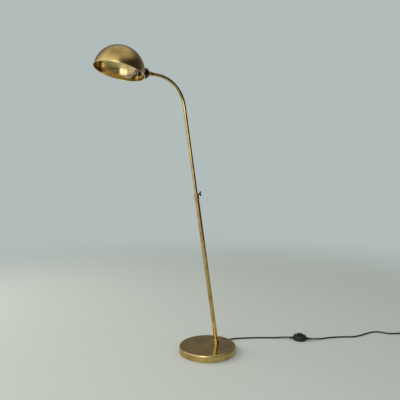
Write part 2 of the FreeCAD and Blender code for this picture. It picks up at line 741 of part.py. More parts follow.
def thumb_screw():
    """The slug that bears on the upper tube, and the wing screw behind it."""
    face = "arm_diameter / 2 + running_fit"
    tip = face + " + pad_length + running_fit"
    shoulder = "clamp_diameter / 2 + thumb_travel"
    end = "clamp_diameter / 2 + wing_reach"
    node(rod("clamp_pad", "thumb_thread / 2 - running_fit", "pad_length",
             along(THUMB, z=face)), "clamp_pad")
    shank = turned("thumb_shank", [
        ("0", tip),
        ("thumb_thread / 2 - running_fit", tip),
        ("thumb_thread / 2 - running_fit", shoulder),
        ("thumb_hub / 2", shoulder),
        ("thumb_hub / 2", shoulder + " + hub_step"),
        ("thumb_hub / 2 - hub_taper", end + " - hub_crown"),
        ("0", end + " - hub_crown"),
    ], THUMB)
    root = "(thumb_hub - hub_taper) / 2"
    tip_in = "(wing_span / 2 - wing_tip_width)"
    wings = padded("thumb_wings", [
        ("-" + root, shoulder + " + hub_step / 2"),
        (root, shoulder + " + hub_step / 2"),
        ("wing_span / 2", end + " - wing_lobe"),
        (tip_in, end + " - wing_lobe + wing_tip_rise", "wing_lobe", 1),
        ("0", end + " - wing_dip"),
        ("-" + tip_in, end + " - wing_lobe + wing_tip_rise"),
        ("-wing_span / 2", end + " - wing_lobe", "wing_lobe", 1),
    ], "wing_thickness", THUMB, "XZ_Plane", True)
    node(fused("thumb_screw", shank, wings), "thumb_screw")


# Arm

def arm_path(sketch, bottom, top_cut):
    """The arm's centreline: straight up the stem, the bend, and the straight end."""
    turn = ARM_TURN
    centre = ("-arc_radius", "arc_height")
    leave = ("-arc_radius * (1 - cos(%s))" % turn, "arc_height + arc_radius * sin(%s)" % turn)
    reach = "(arm_end - (%s))" % top_cut
    end = ("%s - %s * sin(%s)" % (leave[0], reach, turn),
           "%s + %s * cos(%s)" % (leave[1], reach, turn))
    foot = Vector(0, value(bottom), 0)
    start = Vector(0, value("arc_height"), 0)
    middle = Vector(value(centre[0]), value(centre[1]), 0)
    off = Vector(value(leave[0]), value(leave[1]), 0)
    last = Vector(value(end[0]), value(end[1]), 0)
    sketch.addGeometry(Part.LineSegment(foot, start), False)
    circle = Part.Circle(middle, Vector(0, 0, 1), value("arc_radius"))
    sketch.addGeometry(Part.ArcOfCircle(circle, 0, math.radians(value(turn))), False)
    sketch.addGeometry(Part.LineSegment(off, last), False)
    sketch.addConstraint(Sketcher.Constraint("Coincident", 0, 2, 1, 1))
    sketch.addConstraint(Sketcher.Constraint("Coincident", 1, 2, 2, 1))
    for edge, point, across, up in ((0, 1, "0", bottom), (0, 2, "0", "arc_height"),
                                    (1, 3, centre[0], None), (1, 2, leave[0], leave[1]),
                                    (2, 2, end[0], end[1])):
        bind(sketch, Sketcher.Constraint("DistanceX", -1, 1, edge, point, value(across)), across)
        if up:
            bind(sketch, Sketcher.Constraint("DistanceY", -1, 1, edge, point, value(up)), up)


def bent(name, bottom, top_cut, radii):
    """A round bar or tube along the arm's centreline."""
    body = doc.addObject("PartDesign::Body", name)
    path = body.newObject("Sketcher::SketchObject", name + "_path")
    plane = [item for item in body.Origin.OriginFeatures if item.Role == "XZ_Plane"][0]
    path.AttachmentSupport = [(plane, "")]
    path.MapMode = "FlatFace"
    arm_path(path, bottom, top_cut)
    section = body.newObject("Sketcher::SketchObject", name + "_section")
    ground = [item for item in body.Origin.OriginFeatures if item.Role == "XY_Plane"][0]
    section.AttachmentSupport = [(ground, "")]
    section.MapMode = "FlatFace"
    section.setExpression("AttachmentOffset.Base.z", bound(bottom))
    for radius in radii:
        edge = section.addGeometry(Part.Circle(Vector(), Vector(0, 0, 1), value(radius)), False)
        section.addConstraint(Sketcher.Constraint("Coincident", edge, 3, -1, 1))
        bind(section, Sketcher.Constraint("Radius", edge, value(radius)), radius)
    pipe = body.newObject("PartDesign::AdditivePipe", name + "_pipe")
    pipe.Profile = section
    pipe.Spine = (path, ["Edge1", "Edge2", "Edge3"])
    body.Tip = pipe
    return settle(body, STEM)


ARM_FOOT = "collar_floor + stem_length - arm_overlap"


def upper_tube():
    """The bent upper tube, the flex in it, and the sleeve and stops at its foot."""
    node(bent("upper_tube", ARM_FOOT, "arm_shoulder", ["arm_diameter / 2", "arm_bore / 2"]),
         "upper_tube")
    node(bent("arm_flex", ARM_FOOT + " - arm_flex_drop", "arm_flex_end", ["flex_diameter / 2"]),
         "arm_flex")
    bore = "arm_bore / 2 - running_fit"
    rim = "stem_bore / 2 - 4 * running_fit"
    node(turned("tube_foot", [
        ("flex_diameter / 2 + seat_gap", ARM_FOOT + " - ring_length"),
        (rim, ARM_FOOT + " - ring_length"),
        (rim, ARM_FOOT),
        (bore, ARM_FOOT),
        (bore, ARM_FOOT + " + 3 * ring_length"),
        ("flex_diameter / 2 + seat_gap", ARM_FOOT + " + 3 * ring_length"),
    ], STEM), "tube_foot")
    above = ARM_FOOT + " + seat_gap"
    node(turned("slide_bush", [
        ("arm_diameter / 2 + running_fit", above),
        ("stem_bore / 2 - running_fit", above),
        ("stem_bore / 2 - running_fit", above + " + slide_bush_length"),
        ("arm_diameter / 2 + running_fit", above + " + slide_bush_length"),
    ], STEM), "slide_bush")
    over = above + " + slide_bush_length + seat_gap"
    node(turned("bush_ring", [
        ("arm_diameter / 2 + running_fit", over),
        (rim, over),
        (rim, over + " + ring_length"),
        ("arm_diameter / 2 + running_fit", over + " + ring_length"),
    ], STEM), "bush_ring")


# Knuckle

def half_ball(name, side, place):
    """Half of the knuckle's ball: side 1 keeps +Y and side -1 keeps -Y."""
    sphere = ball(name + "_sphere", "ball_diameter / 2", place)
    width = "(ball_width - knuckle_gap) / 2"
    start = "knuckle_gap / 2" if side > 0 else "-ball_width / 2"
    half = block(name + "_half", "ball_diameter", width, "ball_diameter",
                 along(place, "-ball_diameter / 2", start, "-ball_diameter / 2"))
    return boolean("Common", name + "_ball", sphere, half)


def neck_relief(name, side, place):
    """The room that the other half's ball sweeps, taken out of this half's neck."""
    sphere = ball(name + "_room", "ball_diameter / 2 + knuckle_play", place)
    start = "-ball_diameter - knuckle_gap / 2" if side > 0 else "-knuckle_gap / 2"
    half = block(name + "_room_half", "2 * ball_diameter", "ball_diameter + knuckle_gap",
                 "2 * ball_diameter", along(place, "-ball_diameter", start, "-ball_diameter"))
    return boolean("Common", name + "_relief", sphere, half)


def knuckle_arm():
    """The half that plugs into the upper tube: neck, shoulder and spigot behind a half ball."""
    neck = turned("arm_neck", [
        ("0", "-arm_shoulder - spigot_length"),
        ("arm_bore / 2 - running_fit", "-arm_shoulder - spigot_length"),
        ("arm_bore / 2 - running_fit", "-arm_shoulder"),
        ("arm_diameter / 2", "-arm_shoulder"),
        ("arm_diameter / 2", "-ball_diameter / 2 - knuckle_play"),
        ("knuckle_neck / 2", "-ball_diameter / 2 - knuckle_play"),
        ("knuckle_neck / 2", "0"),
        ("0", "0"),
    ], PIVOT)
    trimmed = cut("arm_neck_trimmed", neck, neck_relief("arm", 1, PIVOT))
    body = fused("knuckle_arm_body", half_ball("arm", 1, PIVOT), trimmed)
    way = rod("arm_wire_way", "wire_way / 2", "arm_shoulder + spigot_length",
              along(PIVOT, z="-arm_shoulder - spigot_length - ball_diameter / 2"))
    tap = rod("arm_tap", "pivot_screw / 2 + running_fit", "ball_width",
              along(PIVOT, axis="1;0;0", angle="-90"))
    node(cut("knuckle_arm", body, way, tap), "knuckle_arm")


def knuckle_head():
    """The half that carries the head: neck, flange and hollow thread before a half ball."""
    neck = turned("head_neck", [
        ("0", "0"),
        ("knuckle_neck / 2", "0"),
        ("knuckle_neck / 2", "neck_shoulder - flange_rim"),
        ("neck_flange / 2", "neck_shoulder - flange_rim"),
        ("neck_flange / 2", "neck_shoulder"),
        ("nipple_diameter / 2", "neck_shoulder"),
        ("nipple_diameter / 2", "neck_shoulder + thread_length"),
        ("0", "neck_shoulder + thread_length"),
    ], HEAD)
    trimmed = cut("head_neck_trimmed", neck, neck_relief("head", -1, HEAD))
    body = fused("knuckle_head_body", half_ball("head", -1, HEAD), trimmed)
    way = rod("head_wire_way", "wire_way / 2", "2 * thread_length",
              along(HEAD, z="ball_diameter / 2 - 1"))
    bore = rod("head_bore", "pivot_screw / 2 + running_fit", "ball_diameter",
               along(HEAD, axis="1;0;0", angle="90"))
    node(cut("knuckle_head", body, way, bore), "knuckle_head")


def knuckle_screw():
    """The slotted screw through both halves, and its washer."""
    # Z points to -Y, the side where the screw's head lies.
    axis = along(PIVOT, axis="1;0;0", angle="90")
    flat = "ball_width / 2"
    head = flat + " + knuckle_gap / 2 + pivot_washer"
    screw = turned("pivot_screw_body", [
        ("0", "-ball_width / 2 + pivot_end"),
        ("pivot_screw / 2", "-ball_width / 2 + pivot_end"),
        ("pivot_screw / 2", head),
        ("pivot_head / 2", head),
        ("pivot_head / 2", head + " + pivot_head_height - pivot_chamfer"),
        ("pivot_head / 2 - pivot_chamfer", head + " + pivot_head_height"),
        ("0", head + " + pivot_head_height"),
    ], axis)
    slot = block("pivot_slot_cut", "pivot_slot", "2 * pivot_head", "pivot_head_height",
                 along(axis, "-pivot_slot / 2", "-pivot_head", head + " + pivot_head_height / 2"))
    node(cut("knuckle_screw", screw, slot), "knuckle_screw")
    rim = "pivot_head / 2 + washer_rim"
    node(turned("knuckle_washer", [
        ("pivot_screw / 2 + running_fit", flat + " + knuckle_gap / 2"),
        (rim, flat + " + knuckle_gap / 2"),
        (rim, head),
        ("pivot_screw / 2 + running_fit", head),
    ], axis), "knuckle_washer")


# Head

CUP_BACK = "neck_shoulder"
CAP_BACK = "(neck_shoulder + cup_wall + seat_gap)"
SHELL_BACK = "(neck_shoulder + cup_wall + seat_gap + cap_length)"
# The dome's outside at the edge of the holder's hole, and its inside under the ring's rim.
HOLE_EDGE = "(shade_distance - sqrt(shade_radius ^ 2 - (holder_diameter / 2 + 3 * seat_gap) ^ 2))"
RING_SEAT = ("(shade_distance - sqrt((shade_radius - shade_wall) ^ 2"
             " - (holder_diameter / 2 + ring_width) ^ 2) + seat_gap)")
SOCKET = "(%s + skirt_length - socket_depth - socket_set)" % SHELL_BACK


def holder_cup():
    """The bell-shaped cup that hides the lampholder's cap."""
    bell = "%s + cup_bell" % CUP_BACK
    mouth = "%s + cup_depth" % CUP_BACK
    node(turned("holder_cup", [
        ("nipple_diameter / 2 + seat_gap", CUP_BACK),
        ("cup_crown", CUP_BACK),
        ("cup_diameter / 2", bell, "cup_curve", 1),
        ("cup_diameter / 2", mouth),
        ("cup_diameter / 2 - cup_wall", mouth),
        ("cup_diameter / 2 - cup_wall", bell),
        ("cup_crown", "%s + cup_wall" % CUP_BACK, "cup_curve - cup_wall", -1),
        ("nipple_diameter / 2 + seat_gap", "%s + cup_wall" % CUP_BACK),
    ], HEAD), "holder_cup")


def lampholder():
    """The lampholder: threaded cap, flanged shell, ceramic insert and contact."""
    edge = "holder_diameter / 2"
    inner = "holder_diameter / 2 - holder_wall"
    thread = "nipple_diameter / 2 + running_fit"
    node(turned("holder_cap", [
        (thread, CAP_BACK),
        ("cup_crown", CAP_BACK),
        (edge, CAP_BACK + " + cap_shoulder"),
        (edge, SHELL_BACK),
        (inner, SHELL_BACK),
        (inner, CAP_BACK + " + cap_shoulder + cap_inset"),
        ("cup_crown - holder_wall", CAP_BACK + " + holder_wall"),
        (thread + " + cap_boss", CAP_BACK + " + holder_wall"),
        (thread + " + cap_boss", CAP_BACK + " + cap_length / 2"),
        (thread, CAP_BACK + " + cap_length / 2"),
    ], HEAD), "holder_cap")
    front = SHELL_BACK + " + skirt_length"
    node(turned("holder_shell", [
        (inner, SHELL_BACK),
        (edge, SHELL_BACK),
        (edge, HOLE_EDGE + " - flange_thickness"),
        ("holder_flange / 2", HOLE_EDGE + " - flange_thickness"),
        ("holder_flange / 2", HOLE_EDGE),
        (edge, HOLE_EDGE),
        (edge, front),
        (inner, front),
    ], HEAD), "holder_shell")
    back = SOCKET + " - (insert_length - socket_depth)"
    node(turned("holder_insert", [
        ("0", back),
        (inner + " - seat_gap", back),
        (inner + " - seat_gap", SOCKET + " + socket_depth"),
        ("bulb_cap_diameter / 2 + 3 * seat_gap", SOCKET + " + socket_depth"),
        ("bulb_cap_diameter / 2 + 3 * seat_gap", SOCKET),
        ("0", SOCKET),
    ], HEAD), "holder_insert")
    node(rod("holder_contact", "contact_diameter / 2", "contact_height", along(HEAD, z=SOCKET)),
         "holder_contact")
    wires = []
    for number, angle in enumerate(CORES):
        across = "holder_spread * cos(%d)" % angle
        beside = "holder_spread * sin(%d)" % angle
        start = "ball_diameter / 2"
        wires.append(rod("holder_lead_%d" % number, "lead_diameter / 2",
                         "%s - %s" % (back, start), along(HEAD, across, beside, start)))
    node(group("holder_leads", *wires), "holder_leads")


def shade():
    """The spun dome with its rolled rim, and the ring that clamps it on the lampholder."""
    inner = "(shade_radius - shade_wall)"
    dome = turned("shade_dome", [
        ("shade_radius", "-shade_skirt"),
        ("shade_radius", "0"),
        ("0", "shade_radius", "shade_radius", 1),
        ("0", inner),
        (inner, "0", inner, -1),
        (inner, "-shade_skirt"),
    ], SHADE)
    bead = doc.addObject("Part::Torus", "shade_rim")
    bead.setExpression("Radius1", bound("shade_radius + shade_bead / 2 - shade_wall"))
    bead.setExpression("Radius2", bound("shade_bead / 2"))
    settle(bead, along(SHADE, z="-shade_skirt"))
    whole = fused("shade_whole", dome, bead)
    hole = rod("shade_hole", "holder_diameter / 2 + 3 * seat_gap", "2 * holder_diameter",
               along(HEAD, z="shade_distance - shade_radius - holder_diameter"))
    node(cut("shade", whole, hole), "shade")
    node(turned("shade_ring", [
        ("holder_diameter / 2 + running_fit", RING_SEAT),
        ("holder_diameter / 2 + ring_width", RING_SEAT),
        ("holder_diameter / 2 + ring_width", RING_SEAT + " + ring_thickness / 2"),
        ("holder_diameter / 2 + ring_width - ring_chamfer", RING_SEAT + " + ring_thickness"),
        ("holder_diameter / 2 + running_fit", RING_SEAT + " + ring_thickness"),
    ], HEAD), "shade_ring")


def bulb():
    """The golf-ball bulb: a screw cap and a thin glass globe that runs into its neck."""
    contact = SOCKET + " + contact_height + seat_gap"
    glass = contact + " + bulb_cap_length"
    globe = "bulb_diameter / 2"
    centre = contact + " + bulb_length - bulb_diameter / 2"
    shoulder = "bulb_shoulder"
    node(turned("bulb_cap", [
        ("0", contact),
        ("contact_diameter / 2", contact),
        ("bulb_cap_diameter / 2 - bulb_tip_inset", contact + " + bulb_tip_rise"),
        ("bulb_cap_diameter / 2", contact + " + bulb_cap_taper"),
        ("bulb_cap_diameter / 2", glass),
        ("0", glass),
    ], HEAD), "bulb_cap")
    outer, inner, wall = globe, "(%s - bulb_wall)" % globe, "bulb_wall"
    neck = "bulb_neck / 2"
    curve = "((%s * sin(%s) - %s) / (1 - sin(%s)))" % (globe, shoulder, neck, shoulder)
    run = "%s - (%s + %s) * cos(%s)" % (centre, globe, curve, shoulder)
    node(turned("bulb_glass", [
        (neck, glass),
        (neck, run),
        ("%s * sin(%s)" % (outer, shoulder), "%s - %s * cos(%s)" % (centre, outer, shoulder),
         curve, -1),
        (outer, centre, outer, 1),
        ("0", "%s + %s" % (centre, outer), outer, 1),
        ("0", "%s + %s" % (centre, inner)),
        (inner, centre, inner, -1),
        ("%s * sin(%s)" % (inner, shoulder), "%s - %s * cos(%s)" % (centre, inner, shoulder),
         inner, -1),
        (neck + " - " + wall, run, "%s + %s" % (curve, wall), 1),
        (neck + " - " + wall, glass),
    ], HEAD), "bulb_glass")


# Foot switch

def switch_frame(side):
    """The flex's axis at the switch: Z points outwards, behind (-1) or ahead (1)."""
    return along(SWITCH, z="entry_height", angle="%d" % (90 * side))


def foot_switch():
    """The round foot switch: pad, base, cover, switch block and push button."""
    edge = "switch_diameter / 2"
    floor = "switch_pad_thickness"
    inner = "switch_diameter / 2 - switch_wall"
    node(rod("switch_pad", edge + " - switch_pad_inset", floor, SWITCH), "switch_pad")
    pan = turned("switch_pan", [
        ("0", floor),
        (edge + " - switch_chamfer", floor),
        (edge, floor + " + switch_chamfer"),
        (edge, "switch_split"),
        (inner, "switch_split"),
        (inner, floor + " + switch_wall"),
        ("0", floor + " + switch_wall"),
    ], SWITCH)
    dome = turned("switch_dome", [
        (edge, "switch_split"),
        (edge, "switch_height - switch_round"),
        (edge + " - switch_round", "switch_height", "switch_round", 1),
        ("button_diameter / 2 + 3 * seat_gap", "switch_height"),
        ("button_diameter / 2 + 3 * seat_gap", "switch_height - switch_wall"),
        (edge + " - switch_round", "switch_height - switch_wall"),
        (inner, "switch_height - switch_round", "switch_round - switch_wall", -1),
        (inner, "switch_split"),
    ], SWITCH)
    posts, holes, screws = [], [], []
    for side in (-1, 1):
        spot_y = "%d * post_offset" % side
        tag = "left" if side > 0 else "right"
        posts.append(rod("switch_post_" + tag, "post_diameter / 2",
                         "switch_height - %s - 1.5 * switch_wall" % floor,
                         along(SWITCH, "0", spot_y, floor + " + switch_wall")))
        holes.append(rod("switch_hole_" + tag, "switch_screw / 2 + running_fit",
                         "switch_screw_length + switch_wall / 2",
                         along(SWITCH, "0", spot_y, floor)))
        screws.append(rod("switch_screw_" + tag, "switch_screw / 2", "switch_screw_length",
                          along(SWITCH, "0", spot_y, floor)))
    back = inner + " - relief_tail - 2 * seat_gap"
    ways = []
    for side in (-1, 1):
        tag = "in" if side < 0 else "out"
        ways.append(rod("switch_way_" + tag, "relief_flange / 2 + seat_gap", "relief_tail",
                        along(switch_frame(side), z=back)))
        ways.append(rod("switch_neck_" + tag, "relief_neck / 2 + seat_gap",
                        "2 * relief_tail + 2 * switch_wall", along(switch_frame(side), z=back)))
    node(cut("switch_base", pan, *(ways + holes)), "switch_base")
    cover = fused("switch_cover_whole", dome, *posts)
    node(cut("switch_cover", cover, *(ways + holes)), "switch_cover")
    node(group("switch_screws", *screws), "switch_screws")
    well = rod("block_well", "plunger_diameter / 2 + 2 * running_fit", "block_height",
               along(SWITCH, z=floor + " + switch_wall + block_floor"))
    body = block("block_body", "block_length", "block_width", "block_height",
                 along(SWITCH, "-block_length / 2", "-block_width / 2", floor + " + switch_wall"))
    node(cut("switch_block", body, well), "switch_block")
    stop = "switch_height - switch_wall - seat_gap"
    plunger = floor + " + switch_wall + plunger_rest + button_travel"
    top = "switch_height + button_height"
    node(turned("switch_button", [
        ("0", plunger),
        ("plunger_diameter / 2", plunger),
        ("plunger_diameter / 2", stop + " - button_rim"),
        ("button_flange / 2", stop + " - button_rim"),
        ("button_flange / 2", stop),
        ("button_diameter / 2", stop),
        ("button_diameter / 2", top + " - button_round"),
        ("button_diameter / 2 - button_round", top, "button_round", 1),
        ("0", top),
    ], SWITCH), "switch_button")


def switch_reliefs():
    """The tapered strain reliefs at both sides of the switch, and the flex inside them."""
    reliefs, tails = [], []
    edge = "switch_diameter / 2"
    inner = "switch_diameter / 2 - switch_wall"
    for side in (-1, 1):
        tag = "in" if side < 0 else "out"
        bore = "flex_diameter / 2 + running_fit"
        reliefs.append(turned("relief_" + tag, [
            (bore, inner + " - relief_tail"),
            ("relief_flange / 2", inner + " - relief_tail"),
            ("relief_flange / 2", inner + " - relief_step"),
            ("relief_neck / 2", inner + " - relief_step"),
            ("relief_neck / 2", edge + " + 2 * seat_gap"),
            ("relief_root / 2", edge + " + 2 * seat_gap"),
            ("relief_end / 2", edge + " + relief_length"),
            (bore, edge + " + relief_length"),
        ], switch_frame(side)))
        start = "block_length / 2 + tail_gap"
        tails.append(rod("tail_" + tag, "flex_diameter / 2",
                         "%s + relief_length - (%s)" % (edge, start),
                         along(switch_frame(side), z=start)))
    node(group("switch_reliefs", *reliefs), "switch_reliefs")
    node(group("switch_tails", *tails), "switch_tails")


# Plug

def plug_outline(shrink="0"):
    """The plug seen from its pins: square, its two corners at the flex's side cut away."""
    length = "(plug_length / 2 - %s)" % shrink
    width = "(plug_width / 2 - %s)" % shrink
    return [
        ("-" + length, "-%s + plug_taper" % width),
        ("-%s + plug_taper" % length, "-" + width),
        (length + " - plug_corner", "-" + width),
        (length, "-%s + plug_corner" % width, "plug_corner", 1),
        (length, width + " - plug_corner"),
        (length + " - plug_corner", width, "plug_corner", 1),
        ("-%s + plug_taper" % length, width),
        ("-" + length, width + " - plug_taper"),
    ]


def plug():
    """The three-pin mains plug, lying on its back."""
    entry = along(PLUG, z="entry_height", angle="-90")
    cover = padded("plug_back", plug_outline("plug_step"), "plug_cover_height", PLUG)
    hollow = rod("plug_way", "relief_neck / 2 + seat_gap", "2 * plug_entry",
                 along(entry, z="plug_length / 2 - plug_entry"))
    node(cut("plug_cover", cover, hollow), "plug_cover")
    face = padded("plug_face", plug_outline(), "plug_base_height",
                  along(PLUG, z="plug_cover_height"))
    top = "plug_cover_height + plug_base_height"
    pins, slots = [], []
    for name, x, y, length, width, reach in (
            ("live", "-pin_spacing / 2", "-pin_spacing / 2", "pin_thickness", "pin_width",
             "pin_length"),
            ("neutral", "-pin_spacing / 2", "pin_spacing / 2", "pin_thickness", "pin_width",
             "pin_length"),
            ("earth", "pin_spacing / 2", "0", "earth_width", "pin_thickness", "earth_length")):
        pins.append(block("pin_" + name, length, width, "plug_base_height / 2 + " + reach,
                          along(PLUG, "%s - %s / 2" % (x, length), "%s - %s / 2" % (y, width),
                                top + " - plug_base_height / 2")))
        slots.append(block("slot_" + name, length + " + 2 * running_fit",
                           width + " + 2 * running_fit", "plug_base_height",
                           along(PLUG, "%s - %s / 2 - running_fit" % (x, length),
                                 "%s - %s / 2 - running_fit" % (y, width),
                                 top + " - plug_base_height / 2")))
    node(cut("plug_base", face, *slots), "plug_base")
    node(group("plug_pins", *pins), "plug_pins")
    root = "plug_length / 2 - plug_step + 2 * seat_gap"
    end = "plug_length / 2 + plug_relief_length"
    node(turned("plug_relief", [
        ("0", "plug_length / 2 - plug_entry + 2 * seat_gap"),
        ("relief_neck / 2", "plug_length / 2 - plug_entry + 2 * seat_gap"),
        ("relief_neck / 2", root),
        ("relief_root / 2", root),
        ("relief_end / 2", end),
        ("0", end),
    ], entry), "plug_relief")


# The flex on the floor

def flex_on_floor():
    """The flex from the base to the switch, on to the coil, the coil, and its end to the plug."""
    out = spot(EXIT, z=value("base_diameter / 2 + grommet_lip"))
    reach = value("switch_diameter / 2 + relief_length")
    switch_in = spot(switch_frame(-1), z=reach)
    switch_out = spot(switch_frame(1), z=reach)
    turn_radius = value("coil_radius + (coil_columns - 1) * flex_diameter / 2")
    centre = frame("coil_x", "coil_y", "flex_diameter / 2 + running_fit")
    joins = []
    for angle in (COIL_IN, COIL_OUT):
        joins.append(spot(centre, turn_radius * math.cos(math.radians(angle)),
                          turn_radius * math.sin(math.radians(angle))))
    plug_in = spot(along(PLUG, z="entry_height", angle="-90"),
                   z=value("plug_length / 2 + plug_relief_length"))
    node(flex("flex_to_switch", [out] + ROUTE_TO_SWITCH + [switch_in]), "flex_to_switch")
    node(flex("flex_to_coil", [switch_out] + ROUTE_TO_COIL + [joins[0]]), "flex_to_coil")
    node(flex("flex_to_plug", [joins[1]] + ROUTE_TO_PLUG + [plug_in]), "flex_to_plug")


def flex_coil():
    """The put-away flex: the outer shape of its turns."""
    half = "coil_columns * flex_diameter / 2"
    tall = "coil_layers * flex_diameter"
    soft = "flex_diameter / 2"
    node(turned("flex_coil", [
        ("coil_radius - %s + %s" % (half, soft), "0", soft, 1),
        ("coil_radius + %s - %s" % (half, soft), "0"),
        ("coil_radius + " + half, soft, soft, 1),
        ("coil_radius + " + half, "%s - %s" % (tall, soft)),
        ("coil_radius + %s - %s" % (half, soft), tall, soft, 1),
        ("coil_radius - %s + %s" % (half, soft), tall),
        ("coil_radius - " + half, "%s - %s" % (tall, soft), soft, 1),
        ("coil_radius - " + half, soft),
    ], frame("coil_x", "coil_y")), "flex_coil")


def build():
    """Makes every sub-part, checks it and writes its file."""
    for make in (base_cover, base_weight, bottom_plate, plate_screws, cord_grommet,
                 flex_in_base, foot_collar, stem_fixing, lower_tube, clamp_collar, thumb_screw,
                 upper_tube, knuckle_arm, knuckle_head, knuckle_screw, holder_cup, lampholder,
                 shade, bulb, foot_switch, switch_reliefs, plug, flex_on_floor, flex_coil):
        make()
    doc.recompute()
    faults = []
    for thing in doc.Objects:
        if {"Invalid", "Error"} & set(thing.State):
            faults.append("%s: %s" % (thing.Label, thing.State))
    for label, thing in nodes.items():
        if thing.Shape.isNull() or not thing.Shape.isValid():
            faults.append("%s: bad shape" % label)
    if faults:
        raise RuntimeError("; ".join(faults))
    os.makedirs("parts", exist_ok=True)
    for label, thing in nodes.items():
        thing.Shape.exportStep("parts/%s.step" % label)
    print(len(nodes), "sub-parts written")


build()
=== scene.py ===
import json
import math

import bpy
import numpy as np
from bpy.props import FloatProperty, FloatVectorProperty, PointerProperty
from mathutils import Matrix, Vector


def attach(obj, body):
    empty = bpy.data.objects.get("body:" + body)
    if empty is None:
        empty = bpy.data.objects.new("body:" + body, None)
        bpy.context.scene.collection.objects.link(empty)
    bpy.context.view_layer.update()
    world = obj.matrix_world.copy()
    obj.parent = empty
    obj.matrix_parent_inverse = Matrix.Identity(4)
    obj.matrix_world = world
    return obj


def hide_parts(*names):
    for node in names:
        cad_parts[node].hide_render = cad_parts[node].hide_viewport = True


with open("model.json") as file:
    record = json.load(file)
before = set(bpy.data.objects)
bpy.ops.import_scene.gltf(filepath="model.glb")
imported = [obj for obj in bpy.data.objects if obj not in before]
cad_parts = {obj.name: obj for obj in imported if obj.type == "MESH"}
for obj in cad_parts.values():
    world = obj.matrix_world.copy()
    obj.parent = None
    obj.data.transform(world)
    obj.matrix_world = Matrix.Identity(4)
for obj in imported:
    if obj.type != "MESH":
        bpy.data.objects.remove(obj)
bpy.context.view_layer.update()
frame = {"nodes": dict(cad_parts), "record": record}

bl_info = {
    "name": "Bridge Floor Lamp",
    "version": (1, 0, 0),
    "blender": (4, 5, 0),
    "location": "3D View > Sidebar > Floor Lamp",
    "description": "Dresses a brass bridge floor lamp round its packed solids",
    "category": "Add Mesh",
}

SLOT_OF = {part["node"]: part["material_slot"] for part in frame["record"]["subparts"]}
MM = 0.001
FULL = 2 * math.pi
FIT = 0.05  # Clearance between fitted pieces, in millimetres.
DOME_GAP = 0.3  # Clearance of the dome's hole round the lampholder.


# Colours and values that a user would change

def linear(code):
    """An sRGB hex colour as linear red, green, blue and alpha."""
    parts = [int(code[i:i + 2], 16) / 255 for i in (0, 2, 4)]
    return [c / 12.92 if c <= 0.04045 else ((c + 0.055) / 1.055) ** 2.4 for c in parts] + [1.0]


def length(label, note, millimetres):
    """A length property; its default is given in millimetres and kept in metres."""
    return FloatProperty(name=label, description=note, default=millimetres * MM, unit="LENGTH",
                         subtype="DISTANCE", precision=4)


def angle(label, note, degrees):
    """An angle property; its default is given in degrees."""
    return FloatProperty(name=label, description=note, default=math.radians(degrees),
                         unit="ROTATION", subtype="ANGLE")


def colour(label, note, code):
    """A colour property; its default is an sRGB hex value."""
    return FloatVectorProperty(name=label, description=note, default=linear(code), size=4,
                               min=0, max=1, subtype="COLOR")


class LampBaseSizes(bpy.types.PropertyGroup):
    """The weighted base and the collar on it."""
    diameter: length("Diameter", "Outside of the spun cover", 250)
    height: length("Height", "Floor to the top of the cover", 30)
    sheet: length("Sheet", "Wall of the spun cover", 1.2)
    edge: length("Edge", "Outer radius of the cover's top edge", 6)
    lift: length("Lift", "Gap under the cover's rim", 1.5)
    collar: length("Collar", "Foot collar's diameter", 21)
    collar_height: length("Collar height", "Foot collar above the cover, along the stem", 15)
    exit_turn: angle("Flex exit", "Where the flex leaves, from the back", 16)
    exit_height: length("Flex exit height", "Flex's axis above the floor", 9.5)


class LampStemSizes(bpy.types.PropertyGroup):
    """The leaning stem, its clamp and the bent arm."""
    foot: length("Foot", "Stem's foot behind the base's centre", 48.8)
    lean: angle("Lean", "Stem's lean to the front", 9.15)
    tube: length("Lower tube", "Outside of the lower tube", 18)
    bore: length("Lower bore", "Inside of the lower tube", 15)
    tube_start: length("Tube start", "Lower tube's end above the cover", 4)
    tube_length: length("Tube length", "Lower tube", 666)
    clamp: length("Clamp", "Clamp collar's diameter", 21)
    clamp_length: length("Clamp length", "Clamp collar", 25)
    clamp_cap: length("Clamp cap", "Collar above the lower tube's mouth", 8)
    screw_drop: length("Screw drop", "Wing screw's axis under the collar's top", 4.2)
    arm: length("Upper tube", "Outside of the upper tube", 13)
    arm_bore: length("Upper bore", "Inside of the upper tube", 10.6)
    arm_foot: length("Arm foot", "Upper tube's foot, along the stem", 440)
    bend_start: length("Bend start", "Start of the bend, along the stem", 1044.3)
    bend_radius: length("Bend radius", "Bend of the upper tube", 135.4)
    arm_rise: angle("Arm rise", "Slope of the arm's end", 5)
    arm_end: length("Arm end", "End of the bend to the knuckle's pivot", 32.6)
    arm_shoulder: length("Arm shoulder", "Pivot to the upper tube's end", 10)


